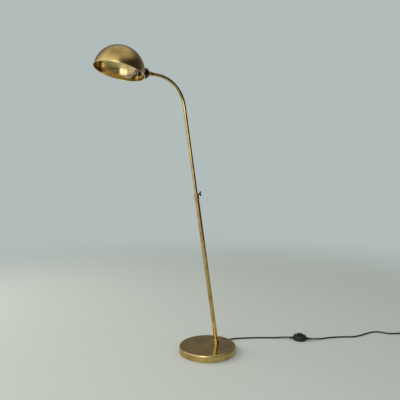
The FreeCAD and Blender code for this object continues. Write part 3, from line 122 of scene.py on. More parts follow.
class LampHeadSizes(bpy.types.PropertyGroup):
    """The cup, the lampholder, the dome and the bulb."""
    droop: angle("Droop", "Lampholder's axis below the arm's end", 6.4)
    cup_back: length("Cup back", "Pivot to the cup's seat", 10.8)
    cup: length("Cup", "Mouth of the bell cup", 42)
    cup_depth: length("Cup depth", "Bell cup", 24)
    cup_bell: length("Cup bell", "Curved part of the bell cup", 16.2)
    cup_sheet: length("Cup sheet", "Wall of the bell cup", 0.9)
    cup_crown: length("Cup crown", "Flat of the bell cup, radius", 9)
    cup_curve: length("Cup curve", "Radius of the bell's side", 16)
    holder: length("Holder", "Lampholder's diameter", 28)
    holder_end: length("Holder end", "Pivot to the lampholder's mouth", 61.8)
    holder_wall: length("Holder wall", "Lampholder's shell", 1.6)
    flange: length("Flange", "Flange behind the dome", 36)
    dome: length("Dome", "Outer radius of the dome", 96.5)
    dome_sheet: length("Dome sheet", "Wall of the dome", 0.8)
    dome_skirt: length("Dome skirt", "Straight rim below the half sphere", 0.5)
    dome_bead: length("Dome bead", "Rolled rim's diameter", 3)
    dome_distance: length("Dome distance", "Pivot to the dome's centre", 134.5)
    dome_cant: angle("Dome cant", "Dome's axis from the holder's axis", 106.4)
    dome_roll: angle("Dome roll", "Turn of the dome about the holder's axis", 2.5)
    bulb: length("Bulb", "Globe's diameter", 45)


class LampFlexSizes(bpy.types.PropertyGroup):
    """The flex, the foot switch, the coil and the plug."""
    flex: length("Flex", "Round flex's diameter", 6.5)
    switch: length("Switch", "Foot switch's diameter", 62)
    switch_height: length("Switch height", "Top of its cover", 21.5)
    button: length("Button", "Push button's diameter", 25)
    button_rise: length("Button rise", "Push button above the cover", 7.5)
    entry_height: length("Entry height", "Flex's axis at the switch and the plug", 7.5)
    coil: length("Coil", "Mean radius of the put-away turns", 36)


class LampFinishes(bpy.types.PropertyGroup):
    """Colours of the lamp's finishes."""
    polished: colour("Polished brass", "Rubbed edges and the inside of the dome", "E2CE9C")
    brass: colour("Brass", "Brass where the patina is thin", "CBAF6F")
    patina: colour("Patina", "Browned brass", "A68C52")
    copper: colour("Red patina", "Reddened brass in the stain's thick spots", "86683C")
    bronze: colour("Dark brass", "Cup, darkened", "352A20")
    black: colour("Black", "Mouldings and flex", "0B0C0B")


class LampStudio(bpy.types.PropertyGroup):
    """The camera, the lights and the surroundings."""
    camera: FloatVectorProperty(name="Camera", description="Place of the camera", size=3,
                                default=(-1.2007, -1.7208, 0.8455), subtype="TRANSLATION",
                                unit="LENGTH")
    heading: angle("Heading", "Camera's direction, from +Y towards +X", 34.0)
    pitch: angle("Pitch", "Camera above level", -4.78)
    lens: FloatProperty(name="Lens", description="Focal length on a 36 mm sensor, in millimetres",
                        default=44.1, min=1)
    wall: colour("Surroundings", "Pale grey-blue round the lamp", "B2BCBB")
    floor: colour("Floor", "Pale floor", "D7D6CD")


# Places of the pieces' own frames

def place(x=0.0, y=0.0, z=0.0, axis="Y", turn=0.0):
    """A frame shifted by x, y, z and turned about one of its axes."""
    return Matrix.Translation((x, y, z)) @ Matrix.Rotation(turn, 4, axis)


def stem_frame(scene):
    """Z runs up the stem from its foot on the cover."""
    stem = scene.lamp_stem
    return place(stem.foot, 0, scene.lamp_base.height, "Y", -stem.lean)


def arm_turn(stem):
    """How far the upper tube bends."""
    return math.pi / 2 - stem.lean - stem.arm_rise


def pivot_frame(scene):
    """Z runs on along the arm's end, from the knuckle's pivot."""
    stem = scene.lamp_stem
    turn, radius, end = arm_turn(stem), stem.bend_radius, stem.arm_end
    across = -(radius * (1 - math.cos(turn)) + end * math.sin(turn))
    up = stem.bend_start + radius * math.sin(turn) + end * math.cos(turn)
    return stem_frame(scene) @ place(across, 0, up, "Y", -turn)


def head_frame(scene):
    """Z runs along the lampholder to the front."""
    return pivot_frame(scene) @ place(turn=-scene.lamp_head.droop)


def dome_frame(scene):
    """Z runs from the dome's centre to its crown."""
    head = scene.lamp_head
    rolled = head_frame(scene) @ place(axis="Z", turn=head.dome_roll)
    return rolled @ place(z=head.dome_distance, turn=head.dome_cant)


def exit_frame(base):
    """Z points out of the base along the flex, from the base's axis."""
    return place(z=base.exit_height, axis="Z", turn=base.exit_turn) @ place(turn=math.pi / 2)


SWITCH = place(0.441, -0.125, 0, "Z", math.radians(-44))
PLUG = place(0.8494, -0.4765, 0, "Z", math.radians(-155))
COIL_CENTRE = (0.9208, -0.3972)


def switch_axis(flex, side):
    """The flex's axis at the switch, pointing out of its back (-1) or its front (1)."""
    return SWITCH @ place(z=flex.entry_height, turn=side * math.pi / 2)


def plug_axis(flex):
    """The flex's axis at the plug, pointing out of it."""
    return PLUG @ place(z=flex.entry_height, turn=-math.pi / 2)


# Surfaces

def arc(start, stop, radius, side=1, steps=10):
    """Points of a circular arc from start to stop, its centre to the left (1) or right (-1)."""
    start, stop = np.array(start, float), np.array(stop, float)
    chord = stop - start
    half = np.hypot(*chord) / 2
    rise = math.sqrt(max(radius ** 2 - half ** 2, 0))
    centre = (start + stop) / 2 + np.array([-chord[1], chord[0]]) / (2 * half) * rise * side
    first = math.atan2(*(start - centre)[::-1])
    last = math.atan2(*(stop - centre)[::-1])
    sweep = (last - first) % FULL if side > 0 else -((first - last) % FULL)
    turns = first + sweep * np.linspace(0, 1, steps + 1)
    return centre + radius * np.stack([np.cos(turns), np.sin(turns)], -1)


def rounded(corners, closed=True, steps=5):
    """A profile of (radius, height, fillet) corners in millimetres, given in metres.

    Each fillet is an arc tangent to the two runs that meet in its corner, with one more point
    on each run, as far from the arc as the fillet is large where the run has room.
    """
    corners = [tuple(c) + (0,) * (3 - len(c)) for c in corners]
    points = []
    for number, (across, up, fillet) in enumerate(corners):
        here = np.array([across, up], float)
        inner = closed or 0 < number < len(corners) - 1
        if not fillet or not inner:
            points.append(here)
            continue
        before = np.array(corners[number - 1][:2], float) - here
        after = np.array(corners[(number + 1) % len(corners)][:2], float) - here
        room = 0.45 * min(np.hypot(*before), np.hypot(*after))
        before, after = before / np.hypot(*before), after / np.hypot(*after)
        opening = math.acos(max(-1, min(1, float(before @ after))))
        reach = min(fillet / math.tan(opening / 2), room)
        radius = reach * math.tan(opening / 2)
        extra = min(reach + fillet, 2 * room)
        cross = before[0] * after[1] - before[1] * after[0]
        points.append(here + before * extra)
        points.extend(arc(here + before * reach, here + after * reach, radius,
                          1 if cross < 0 else -1, steps))
        points.append(here + after * extra)
    return np.array(points) * MM


def bends(profile, closed):
    """How sharply a profile turns at each point: 1 for an edge of 1.5 mm radius or less,
    -1 for such a crease."""
    before = profile - np.roll(profile, 1, 0)
    after = np.roll(profile, -1, 0) - profile
    spans = np.hypot(before[:, 0], before[:, 1]) + np.hypot(after[:, 0], after[:, 1])
    turn = np.arctan2(before[:, 0] * after[:, 1] - before[:, 1] * after[:, 0],
                      (before * after).sum(1))
    if not closed:
        turn[[0, -1]] = 0
    return np.clip(turn / np.maximum(spans / 2, 1e-6) * 1.5 * MM, -1, 1)


def surface(name, grid, frame_of=None, loop_rows=False, edge=None, around=0.01):
    """A mesh of a grid of points: rows run along the piece and columns once round it.

    A row whose points coincide is a pole and is closed with triangles. The UV map gives metres
    round (at the radius around) and metres along. edge is a number for each row.
    """
    rows, columns = grid.shape[:2]
    index = np.arange(rows * columns).reshape(rows, columns)
    pole = np.ptp(grid, axis=1).max(-1) < 1e-7
    index[pole] = index[pole, :1]
    ring = np.concatenate([index, index[:1]]) if loop_rows else index
    ring = np.concatenate([ring, ring[:, :1]], 1)
    corners = np.stack([ring[:-1, :-1], ring[:-1, 1:], ring[1:, 1:], ring[1:, :-1]], -1)
    steps = np.linalg.norm(np.diff(grid.mean(1), axis=0), axis=1)
    steps = np.maximum(steps, np.abs(np.diff(np.linalg.norm(grid - grid.mean(1)[:, None], axis=2)
                                             .mean(1))))
    along = np.concatenate([[0], np.cumsum(steps)])
    if loop_rows:
        along = np.append(along, along[-1] + steps.mean())
    across = np.linspace(0, FULL * around, columns + 1)
    u, v = np.meshgrid(across, along)
    flat_uv = np.stack([u, v], -1)
    uvs = np.stack([flat_uv[:-1, :-1], flat_uv[:-1, 1:], flat_uv[1:, 1:], flat_uv[1:, :-1]], 2)
    corners, uvs = corners.reshape(-1, 4), uvs.reshape(-1, 4, 2)
    keep = corners != np.roll(corners, -1, 1)
    whole = keep.sum(1) >= 3
    corners, uvs, keep = corners[whole], uvs[whole], keep[whole]
    loops, counts = corners[keep], keep.sum(1)
    points = grid.reshape(-1, 3)
    used, loops = np.unique(loops, return_inverse=True)
    starts = np.concatenate([[0], np.cumsum(counts)[:-1]])
    mesh = shell(name, points[used], loops, starts, counts, uvs[keep])
    if edge is not None:
        values = np.repeat(np.asarray(edge, np.float32), columns)[used]
        mesh.attributes.new("edge", "FLOAT", "POINT").data.foreach_set("value", values)
    return finished(name, mesh, frame_of)


def shell(name, points, loops, starts, counts, uvs=None):
    """A mesh from arrays, its faces turned outwards: a closed form's volume comes out positive."""
    fan = [(starts[counts > k + 1], starts[counts > k + 1] + k, starts[counts > k + 1] + k + 1)
           for k in (1, 2)]
    volume = 0.0
    for a, b, c in fan:
        volume += float(np.einsum("ij,ij->", points[loops[a]],
                                  np.cross(points[loops[b]], points[loops[c % len(loops)]])))
    mesh = bpy.data.meshes.new(name)
    mesh.vertices.add(len(points))
    mesh.vertices.foreach_set("co", np.asarray(points, np.float32).ravel())
    mesh.loops.add(len(loops))
    mesh.loops.foreach_set("vertex_index", np.asarray(loops, np.int32))
    mesh.polygons.add(len(starts))
    mesh.polygons.foreach_set("loop_start", np.asarray(starts, np.int32))
    mesh.update(calc_edges=True)
    if uvs is not None:
        mesh.uv_layers.new(name="UVMap").data.foreach_set("uv", np.asarray(uvs, np.float32).ravel())
    if volume < 0:
        mesh.flip_normals()
    mesh.validate()
    return mesh


def finished(name, mesh, frame_of=None, sharp=35):
    """Puts a mesh in the scene, its place in its points, smooth but at sharp edges."""
    if frame_of is not None:
        mesh.transform(frame_of)
    mesh.shade_smooth()
    mesh.set_sharp_from_angle(angle=math.radians(sharp))
    return put(name, mesh)


def lathe(name, profile, frame_of, around=96, closed=True, reshape=None):
    """A turned form: point(a, s) = (r(s) cos a, r(s) sin a, z(s)), a once round and s along the
    profile. reshape gives radii and heights anew, from the radii, heights and angles."""
    profile = np.asarray(profile, float)
    turns = np.linspace(0, FULL, around, endpoint=False)
    radius, height = profile[:, :1] + 0 * turns, profile[:, 1:] + 0 * turns
    if reshape is not None:
        radius, height = reshape(radius, height, turns + 0 * radius)
    grid = np.stack([radius * np.cos(turns), radius * np.sin(turns), height], -1)
    return surface(name, grid, frame_of, closed, bends(profile, closed),
                   max(float(profile[:, 0].max()), MM))


def carried(name, centres, tangents, radii, frame_of):
    """A tube along a path in the XZ plane: point(a, s) = centre(s) + r(s) (cos a normal(s)
    + sin a Y), with a centre, a tangent and a radius for each row."""
    turns = np.linspace(0, FULL, 64, endpoint=False)
    normals = np.stack([tangents[:, 1], -tangents[:, 0]], -1)
    radius = radii[:, None]
    across = centres[:, None] + (radius * np.cos(turns))[..., None] * normals[:, None]
    grid = np.stack([across[..., 0], radius * np.sin(turns), across[..., 1]], -1)
    return surface(name, grid, frame_of, True, None, float(radii.max()))


def moulded(name, outline, levels, frame_of):
    """A moulding: point(u, h) = outline(u) - inset(h) normal(u) at height h, both ends closed."""
    outline = np.asarray(outline, float)
    step = np.roll(outline, -1, 0) - np.roll(outline, 1, 0)
    normal = np.stack([step[:, 1], -step[:, 0]], -1)
    normal /= np.linalg.norm(normal, axis=1, keepdims=True)
    levels = np.asarray(levels, float)
    bend = bends(np.stack([-levels[:, 1], levels[:, 0]], -1), False)
    rows = [np.concatenate([outline - inset * normal, np.full((len(outline), 1), height)], 1)
            for height, inset in levels]

    def inward(row, share):
        """A row drawn in towards its middle: share 0 is the pole that closes an end."""
        centre = np.array([*outline.mean(0), row[0, 2]])
        return centre + (row - centre) * share

    rows = [inward(rows[0], 0.0), inward(rows[0], 0.6), *rows,
            inward(rows[-1], 0.6), inward(rows[-1], 0.0)]
    return surface(name, np.stack(rows), frame_of, False, [0, 0, *bend, 0, 0])


def smoothed(node, name):
    """A copy of a CAD node's mesh, its doubles merged, so that it can be shaded smooth."""
    source = frame["nodes"][node].data
    points = np.empty(len(source.vertices) * 3)
    source.vertices.foreach_get("co", points)
    points = points.reshape(-1, 3)
    loops = np.empty(len(source.loops), int)
    source.loops.foreach_get("vertex_index", loops)
    _, first, back = np.unique(np.round(points, 6), axis=0, return_index=True,
                               return_inverse=True)
    triangles = back.ravel()[loops].reshape(-1, 3)
    sound = ((triangles[:, 0] != triangles[:, 1]) & (triangles[:, 1] != triangles[:, 2])
             & (triangles[:, 2] != triangles[:, 0]))
    triangles = triangles[sound]
    starts = np.arange(len(triangles)) * 3
    mesh = shell(name, points[first], triangles.ravel(), starts, np.full(len(starts), 3))
    return finished(name, mesh, None, 30)


def settle(piece, body, finish, *nodes):
    """Gives a piece its finish and body, and the CAD nodes that it stands for."""
    piece.data.materials.append(FINISHES[finish])
    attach(piece, body)
    if nodes:
        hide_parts(*nodes)
    return piece


# Materials

def feed(tree, node, inputs):
    """Sets a node's inputs, given in order or by name: values, or other nodes' outputs."""
    for name, given in dict(inputs if isinstance(inputs, dict) else enumerate(inputs)).items():
        if isinstance(given, bpy.types.NodeSocket):
            tree.links.new(given, node.inputs[name])
        else:
            node.inputs[name].default_value = given


def add(tree, kind, inputs=(), stops=(), **settings):
    """Adds a shader node and returns its outputs: settings are its properties, stops the
    (position, grey or colour) stops of a ramp."""
    node = tree.nodes.new("ShaderNode" + kind)
    for name, setting in settings.items():
        setattr(node, name, setting)
    feed(tree, node, inputs)
    band = node.color_ramp.elements if stops else ()
    while len(band) < len(stops):
        band.new(1.0)
    for element, (position, shade) in zip(band, stops):
        element.position = position
        element.color = shade if hasattr(shade, "__len__") else (shade, shade, shade, 1)
    return node.outputs


def own_axes(tree, frame_of):
    """Object coordinates seen in a piece's own frame, in metres."""
    coordinates = add(tree, "TexCoord")["Object"]
    inverse = frame_of.inverted()
    return add(tree, "Mapping", {"Vector": coordinates, "Location": inverse.to_translation(),
                                 "Rotation": inverse.to_euler()})[0]


def blank(name):
    """A new material, its node tree and its one Principled shader."""
    material = bpy.data.materials.new(name)
    material.use_nodes = True
    tree = material.node_tree
    return material, tree, tree.nodes["Principled BSDF"]


def aged_brass(name, finishes, frame_of, made="spun", dark=0.0):
    """Brass sheet or tube, spun, drawn or milled, stained brown, waxed and rubbed by hand.

    It gives the eye a soft mirror: gold where it has been rubbed, on edges most, and olive to
    red-brown in cloudy patches, crossed by the fine lines of the spinning or the drawing.
    """
    material, tree, shader = blank(name)
    axes = own_axes(tree, frame_of)
    # Clouds of the stain, 60 mm and 14 mm across, and pits of 2 mm.
    clouds, mottle, specks = (
        add(tree, "TexNoise", {"Vector": axes, "Scale": 1 / (size * MM), "Detail": detail,
                               "Roughness": rough})[0]
        for size, detail, rough in ((60, 3, 0.5), (14, 4, 0.6), (2.2, 2, 0.5)))
    if made == "drawn":
        # Drawing lines run along the tube: 0.9 mm apart, drawn coarser than the real 0.2 mm.
        metres = add(tree, "UVMap", uv_map="UVMap")[0]
        lines_at = add(tree, "Mapping", {"Vector": metres, "Scale": (1, 0.012, 1)})[0]
        spacing = 0.9
    elif made == "spun":
        # Spinning lines run round the axis: noise of the distance from it and of the height,
        # 1.1 mm apart, drawn coarser than the real 0.4 mm so that they show.
        x, y, z = add(tree, "SeparateXYZ", (axes,))
        flat = add(tree, "CombineXYZ", (x, y))[0]
        reach = add(tree, "VectorMath", (flat,), operation="LENGTH")["Value"]
        lines_at, spacing = add(tree, "CombineXYZ", (reach, 0, z))[0], 1.1
    lines = specks if made == "milled" else add(tree, "TexNoise", {
        "Vector": lines_at, "Scale": 1 / (spacing * MM), "Detail": 2, "Roughness": 0.6})[0]
    edge = add(tree, "Attribute", attribute_name="edge")["Fac"]
    stain, roughness = dark, 0.07
    for source, share in ((mottle, 0.25), (clouds, 0.75)):
        stain = add(tree, "Math", (source, share, stain), operation="MULTIPLY_ADD")[0]
    for source, share in ((stain, 0.2), (lines, 0.06), (edge, -0.04)):
        roughness = add(tree, "Math", (source, share, roughness), operation="MULTIPLY_ADD")[0]
    shades = add(tree, "ValToRGB", (stain,), (
        (0.42, finishes.brass), (0.62, finishes.patina), (0.80, finishes.copper)))[0]
    shades = add(tree, "Mix", {0: edge, 6: shades, 7: finishes.polished}, data_type="RGBA")[2]
    spots = add(tree, "ValToRGB", (specks,), ((0.25, 0.8), (0.34, 1.0)))[0]
    shades = add(tree, "Mix", {0: 1.0, 6: shades, 7: spots}, data_type="RGBA",
                 blend_type="MULTIPLY")[2]
    height = add(tree, "Math", (lines, 0.2, mottle), operation="MULTIPLY_ADD")[0]
    relief = add(tree, "Bump", {"Height": height, "Distance": 0.025 * MM})[0]
    feed(tree, shader, {"Metallic": 1.0, "Base Color": shades, "Roughness": roughness,
                        "Normal": relief})
    return material


def mottled(name, frame_of, layers, stops, rough, depth, worn=0.0, **sockets):
    """A surface toned by its coarsest layer of noise, with a bump of its finest, that many
    millimetres deep. layers are (size in millimetres, detail, roughness). rough is the layer
    that the roughness follows, its lowest value and its span; worn brightens the edges."""
    material, tree, shader = blank(name)
    axes = own_axes(tree, frame_of)
    noises = [add(tree, "TexNoise", {"Vector": axes, "Scale": 1 / (size * MM), "Detail": detail,
                                     "Roughness": uneven})[0] for size, detail, uneven in layers]
    layer, low, span = rough
    roughness = add(tree, "Math", (noises[layer], span, low), operation="MULTIPLY_ADD")[0]
    relief = add(tree, "Bump", {"Height": noises[-1], "Distance": depth * MM})[0]
    feed(tree, shader, {"Roughness": roughness, "Normal": relief})
    feed(tree, shader, {key.replace("_", " "): given for key, given in sockets.items()})
    if stops:
        edge = add(tree, "Attribute", attribute_name="edge")["Fac"]
        tone = add(tree, "Math", (edge, worn, noises[0]), operation="MULTIPLY_ADD")[0]
        feed(tree, shader, {"Base Color": add(tree, "ValToRGB", (tone,), stops)[0]})
    return material


def darkened_brass(name, finishes, frame_of):
    """Brass blackened in a sulphur bath and waxed: brown-black, warm on rubbed edges."""
    return mottled(name, frame_of, [(7, 3, 0.5)],
                   ((0.4, finishes.bronze), (1.0, finishes.patina)), (-1, 0.2, 0.2), 0.05,
                   0.25, Metallic=1.0)


def black_moulding(name, finishes, rough=0.22):
    """Black thermoset or ABS, moulded and tumbled: satin, with faint dust and fine scuffs."""
    return mottled(name, place(), [(6, 3, 0.5), (0.7, 2, 0.5)],
                   ((0.4, finishes.black), (0.8, linear("1D1F1E"))), (0, rough, 0.2),
                   0.03, IOR=1.52)


def flex_sheath(name, finishes):
    """Extruded soft PVC: black, satin, with a faint drag along it and dust from the floor."""
    return mottled(name, place(), [(14, 4, 0.6), (1.4, 2, 0.5)],
                   ((0.42, finishes.black), (0.78, linear("1F2120"))), (-1, 0.32, 0.18),
                   0.06, IOR=1.53)


def plain(name, code, other, size, rough, metallic=0.0, depth=0.03):
    """A surface of two near tones in patches of a given size, with a bump of the same grain."""
    return mottled(name, place(), [(size, 4, 0.6)],
                   ((0.35, linear(code)), (0.7, linear(other))), (-1, rough - 0.07, 0.15),
                   depth, Metallic=metallic)


def clear_glass(name):
    """Blown soda-lime glass: clear, faintly uneven, so that its highlights waver."""
    return mottled(name, place(), [(18, 2, 0.5)], (), (-1, 0.0, 0.04), 0.05, IOR=1.5,
                   Transmission_Weight=1.0, Base_Color=linear("F6F7F3"))


FINISHES = {}


class LAMP_OT_finishes(bpy.types.Operator):
    """Make the materials and give the CAD nodes theirs"""
    bl_idname = "lamp.finishes"
    bl_label = "Finishes"

    def execute(self, context):
        scene = context.scene
        looks = scene.lamp_finishes
        up_stem, along_head = stem_frame(scene), head_frame(scene)
        made = {
            "base_brass": aged_brass("Aged brass, spun base", looks, place(), dark=-0.05),
            "stem_brass": aged_brass("Aged brass, drawn lower tube", looks, up_stem, "drawn"),
            "arm_brass": aged_brass("Aged brass, drawn upper tube", looks, up_stem, "drawn"),
            "turned_brass": aged_brass("Aged brass, turned fittings", looks, up_stem),
            "dome_brass": aged_brass("Aged brass, spun dome", looks, dome_frame(scene)),
            "knuckle_brass": aged_brass("Aged brass, milled knuckle", looks, along_head,
                                        "milled", 0.14),
            "cup_brass": darkened_brass("Darkened brass, spun cup", looks, along_head),
            "screw_brass": darkened_brass("Darkened brass, cut wing screw", looks, up_stem),
            "black": black_moulding("Black thermoset, moulded", looks),
            "plug_black": black_moulding("Black ABS, moulded plug", looks, 0.32),
            "rubber": plain("Black rubber, moulded", "151614", "242523", 2.0, 0.6),
            "flex": flex_sheath("Black PVC, extruded flex", looks),
            "iron": plain("Cast iron, black wash", "1E1E1D", "383633", 3.0, 0.75, 0.6, 0.3),
            "zinc": plain("Steel, zinc plated", "A5A7A6", "8C8F8F", 5.0, 0.35, 1.0),
            "felt": plain("Wool felt, pressed", "24301F", "39452F", 0.8, 0.95, 0.0, 0.25),
            "nylon": plain("Nylon, moulded", "DAD6C8", "E6E2D6", 4.0, 0.5),
            "porcelain": plain("Porcelain, glazed", "E4DFD2", "EFEBE0", 6.0, 0.16),
            "glass": clear_glass("Soda-lime glass, blown"),
            "nickel": plain("Brass cap, nickel plated", "B9B3A6", "9C9688", 3.0, 0.25, 1.0),
            "strap": plain("Nylon hook-and-loop tape, woven", "161718", "2B2C2D", 0.5, 0.9, 0.0,
                           0.2),
            "leads": plain("PVC core, extruded", "5A3A20", "6A4526", 3.0, 0.45),
        }
        FINISHES.update(made)
        by_slot = {
            "polished_brass": "knuckle_brass", "dark_brass": "cup_brass", "cast_iron": "iron",
            "zinc_steel": "zinc", "green_felt": "felt", "black_rubber": "rubber",
            "black_plastic": "black", "white_nylon": "nylon", "porcelain": "porcelain",
            "clear_glass": "glass", "nickel": "nickel", "lead_plastic": "leads",
        }
        for name, thing in frame["nodes"].items():
            material = FINISHES[by_slot[SLOT_OF[name]]]
            if thing.material_slots:
                for spot in thing.material_slots:
                    spot.material = material
            else:
                thing.data.materials.append(material)
        return {"FINISHED"}


# Camera and flex

def level_ways(studio):
    """Level directions to the camera's right and straight ahead of it."""
    east, north = math.sin(studio.heading), math.cos(studio.heading)
    return Vector((north, -east, 0)), Vector((east, north, 0))


def put(name, data, spot=(0, 0, 0), ahead=None):
    """Puts an object in the scene, its -Z turned ahead where a direction is given."""
    thing = bpy.data.objects.new(name, data)
    bpy.context.scene.collection.objects.link(thing)
    thing.location = spot
    if ahead is not None:
        thing.rotation_mode = "QUATERNION"
        thing.rotation_quaternion = ahead.to_track_quat("-Z", "Y")
    return thing


class LAMP_OT_camera(bpy.types.Operator):
    """Place the camera"""
    bl_idname = "lamp.camera"
    bl_label = "Camera"

    def execute(self, context):
        studio = context.scene.lamp_studio
        ahead = level_ways(studio)[1] * math.cos(studio.pitch)
        ahead.z = math.sin(studio.pitch)
        camera = put("camera", bpy.data.cameras.new("camera"), studio.camera, ahead)
        camera.data.lens = studio.lens
        camera.data.sensor_width = 36
        context.scene.camera = camera
        return {"FINISHED"}


# The flex's route, on its axis, in metres: the same points as the solids have.
TO_SWITCH = [
    (0.143, 0.041, 0.0095), (0.168, 0.0515, 0.0052), (0.203, 0.044, 0.0033),
    (0.256, 0.0165, 0.0033), (0.3135, -0.0187, 0.0033), (0.351, -0.047, 0.0034),
    (0.376, -0.0635, 0.005), (0.3921, -0.0778, 0.0075),
]
TO_COIL = [
    (0.4899, -0.1722, 0.0075), (0.516, -0.179, 0.0044), (0.570, -0.191, 0.0033),
    (0.630, -0.219, 0.0033), (0.667, -0.2475, 0.0033), (0.706, -0.2555, 0.0033),
    (0.762, -0.254, 0.0033), (0.812, -0.258, 0.0033), (0.836, -0.281, 0.0033),
    (0.845, -0.313, 0.0033), (0.870, -0.330, 0.0033), (0.903, -0.347, 0.0033),
]
TO_PLUG = [(0.924, -0.4407, 0.0125), (0.9065, -0.4499, 0.0079)]
COIL_IN, COIL_OUT = math.radians(67), math.radians(-60)
COIL_LAPS = 5
POINTS_A_LAP = 16


def coil_points(flex):
    """The coil's turns, clockwise seen from above: two turns side by side in each layer.

    The radius and the height go from one turn's place to the next over the last eighth of
    a lap; the control points stand a little outside, so that the spline runs at the radius.
    """
    near, far = flex.coil - flex.flex / 2, flex.coil + flex.flex / 2
    low = flex.flex / 2 + 0.00005
    places = np.array([(far, low), (near, low), (near, low + flex.flex),
                       (far, low + flex.flex), (near, low + 2 * flex.flex),
                       (far, low + 2 * flex.flex)])
    laps = COIL_LAPS + (COIL_IN - COIL_OUT) / FULL
    count = round(laps * POINTS_A_LAP)
    lap = np.linspace(0, laps, count + 1)[1:-1]
    whole = np.minimum(lap.astype(int), len(places) - 1)
    late = np.clip((lap - whole - 0.875) / 0.125, 0, 1)
    late = late * late * (3 - 2 * late)
    following = np.minimum(whole + 1, len(places) - 1)
    spots = places[whole] * (1 - late[:, None]) + places[following] * late[:, None]
    turn = COIL_IN - lap * FULL
    outward = 0.75 + 0.25 * math.cos(FULL / POINTS_A_LAP)
    radius = spots[:, 0] / outward
    return np.stack([COIL_CENTRE[0] + radius * np.cos(turn),
                     COIL_CENTRE[1] + radius * np.sin(turn), spots[:, 1]], -1)


def cord_line(name, points, diameter):
    """A round cord on a quadratic NURBS spline through its route's control points."""
    curve = bpy.data.curves.new(name, "CURVE")
    curve.dimensions = "3D"
    spline = curve.splines.new("NURBS")
    spline.points.add(len(points) - 1)
    spline.points.foreach_set("co", np.concatenate(
        [np.asarray(points, float), np.ones((len(points), 1))], 1).astype(np.float32).ravel())
    spline.order_u = 3
    spline.use_endpoint_u = True
    spline.resolution_u = 10
    curve.bevel_depth = diameter / 2
    curve.bevel_resolution = 5
    curve.use_fill_caps = True
    return put(name, curve)


def coil_tie(flex):
    """A strap round the put-away turns: point(u, s) = centre + r(u) (cos a(s), sin a(s)) at
    height z(u), with (r, z) a rounded loop round the turns, outside and inside."""
    half, top = flex.flex / MM, 3 * flex.flex / MM
    middle, thick = flex.coil / MM, 0.9
    turns = np.radians(200) + np.linspace(-0.19, 0.19, 9)

    def loop(out):
        """The loop that far outside the turns; its underside lies on the floor."""
        corner = 2.6 + out
        near, far = middle - half - out, middle + half + out
        return rounded([(near, thick - out, corner), (far, thick - out, corner),
                        (far, top + out, corner), (near, top + out, corner)], True, 8)

    grid = np.stack([np.stack([COIL_CENTRE[0] + outline[:, 0] * math.cos(turn),
                               COIL_CENTRE[1] + outline[:, 0] * math.sin(turn),
                               outline[:, 1]], -1)
                     for outline, sweep in ((loop(0.0), turns), (loop(thick), turns[::-1]))
                     for turn in sweep])
    strap = surface("flex_coil_tie", grid, None, True)
    return settle(strap, "base", "strap")


class LAMP_OT_flex(bpy.types.Operator):
    """Lay the flex from the base through the foot switch to the coil and the plug"""
    bl_idname = "lamp.flex"
    bl_label = "Flex"

    def execute(self, context):
        scene = context.scene
        base, flex = scene.lamp_base, scene.lamp_flex
        leave = exit_frame(base) @ Vector((0, 0, base.diameter / 2 + 0.003))
        reach = Vector((0, 0, flex.switch / 2 + 0.017))
        switch_in = switch_axis(flex, -1) @ reach
        switch_out = switch_axis(flex, 1) @ reach
        plug_in = plug_axis(flex) @ Vector((0, 0, 0.046))
        first = cord_line("flex_to_switch_cord", [leave, *TO_SWITCH, switch_in], flex.flex)
        turns = coil_points(flex)
        second = cord_line("flex_to_plug_cord",
                           [switch_out, *TO_COIL, *turns, *TO_PLUG, plug_in], flex.flex)
        coil_tie(flex)
        settle(first, "base", "flex", "flex_to_switch")
        settle(second, "base", "flex", "flex_to_coil", "flex_coil", "flex_to_plug")
        return {"FINISHED"}


# Base and stem

class LAMP_OT_base(bpy.types.Operator):
    """Spin the base's cover"""
    bl_idname = "lamp.base"
    bl_label = "Base"

    def execute(self, context):
        base = context.scene.lamp_base
        edge, top, sheet = base.diameter / 2 / MM, base.height / MM, base.sheet / MM
        lift, bend = base.lift / MM, base.edge / MM
        outer = np.concatenate([
            # Points beside each bend keep the flats flat up to it.
            [(edge, lift), (edge, lift + 1.2), (edge, top - bend - 2)],
            arc((edge, top - bend), (edge - bend, top), bend, 1, 14),
            [(edge - bend - 3, top), (edge * 0.8, top), (edge * 0.5, top), (edge * 0.25, top),
             (0, top)]])
        inner = np.concatenate([
            [(0, top - sheet), (edge * 0.5, top - sheet)],
            arc((edge - bend, top - sheet), (edge - sheet, top - bend), bend - sheet, -1, 8),
            [(edge - sheet, lift)]])
        cover = lathe("base_cover_spun", np.concatenate([outer, inner]) * MM, None, 256)
        settle(cover, "base", "base_brass", "base_cover")
        return {"FINISHED"}


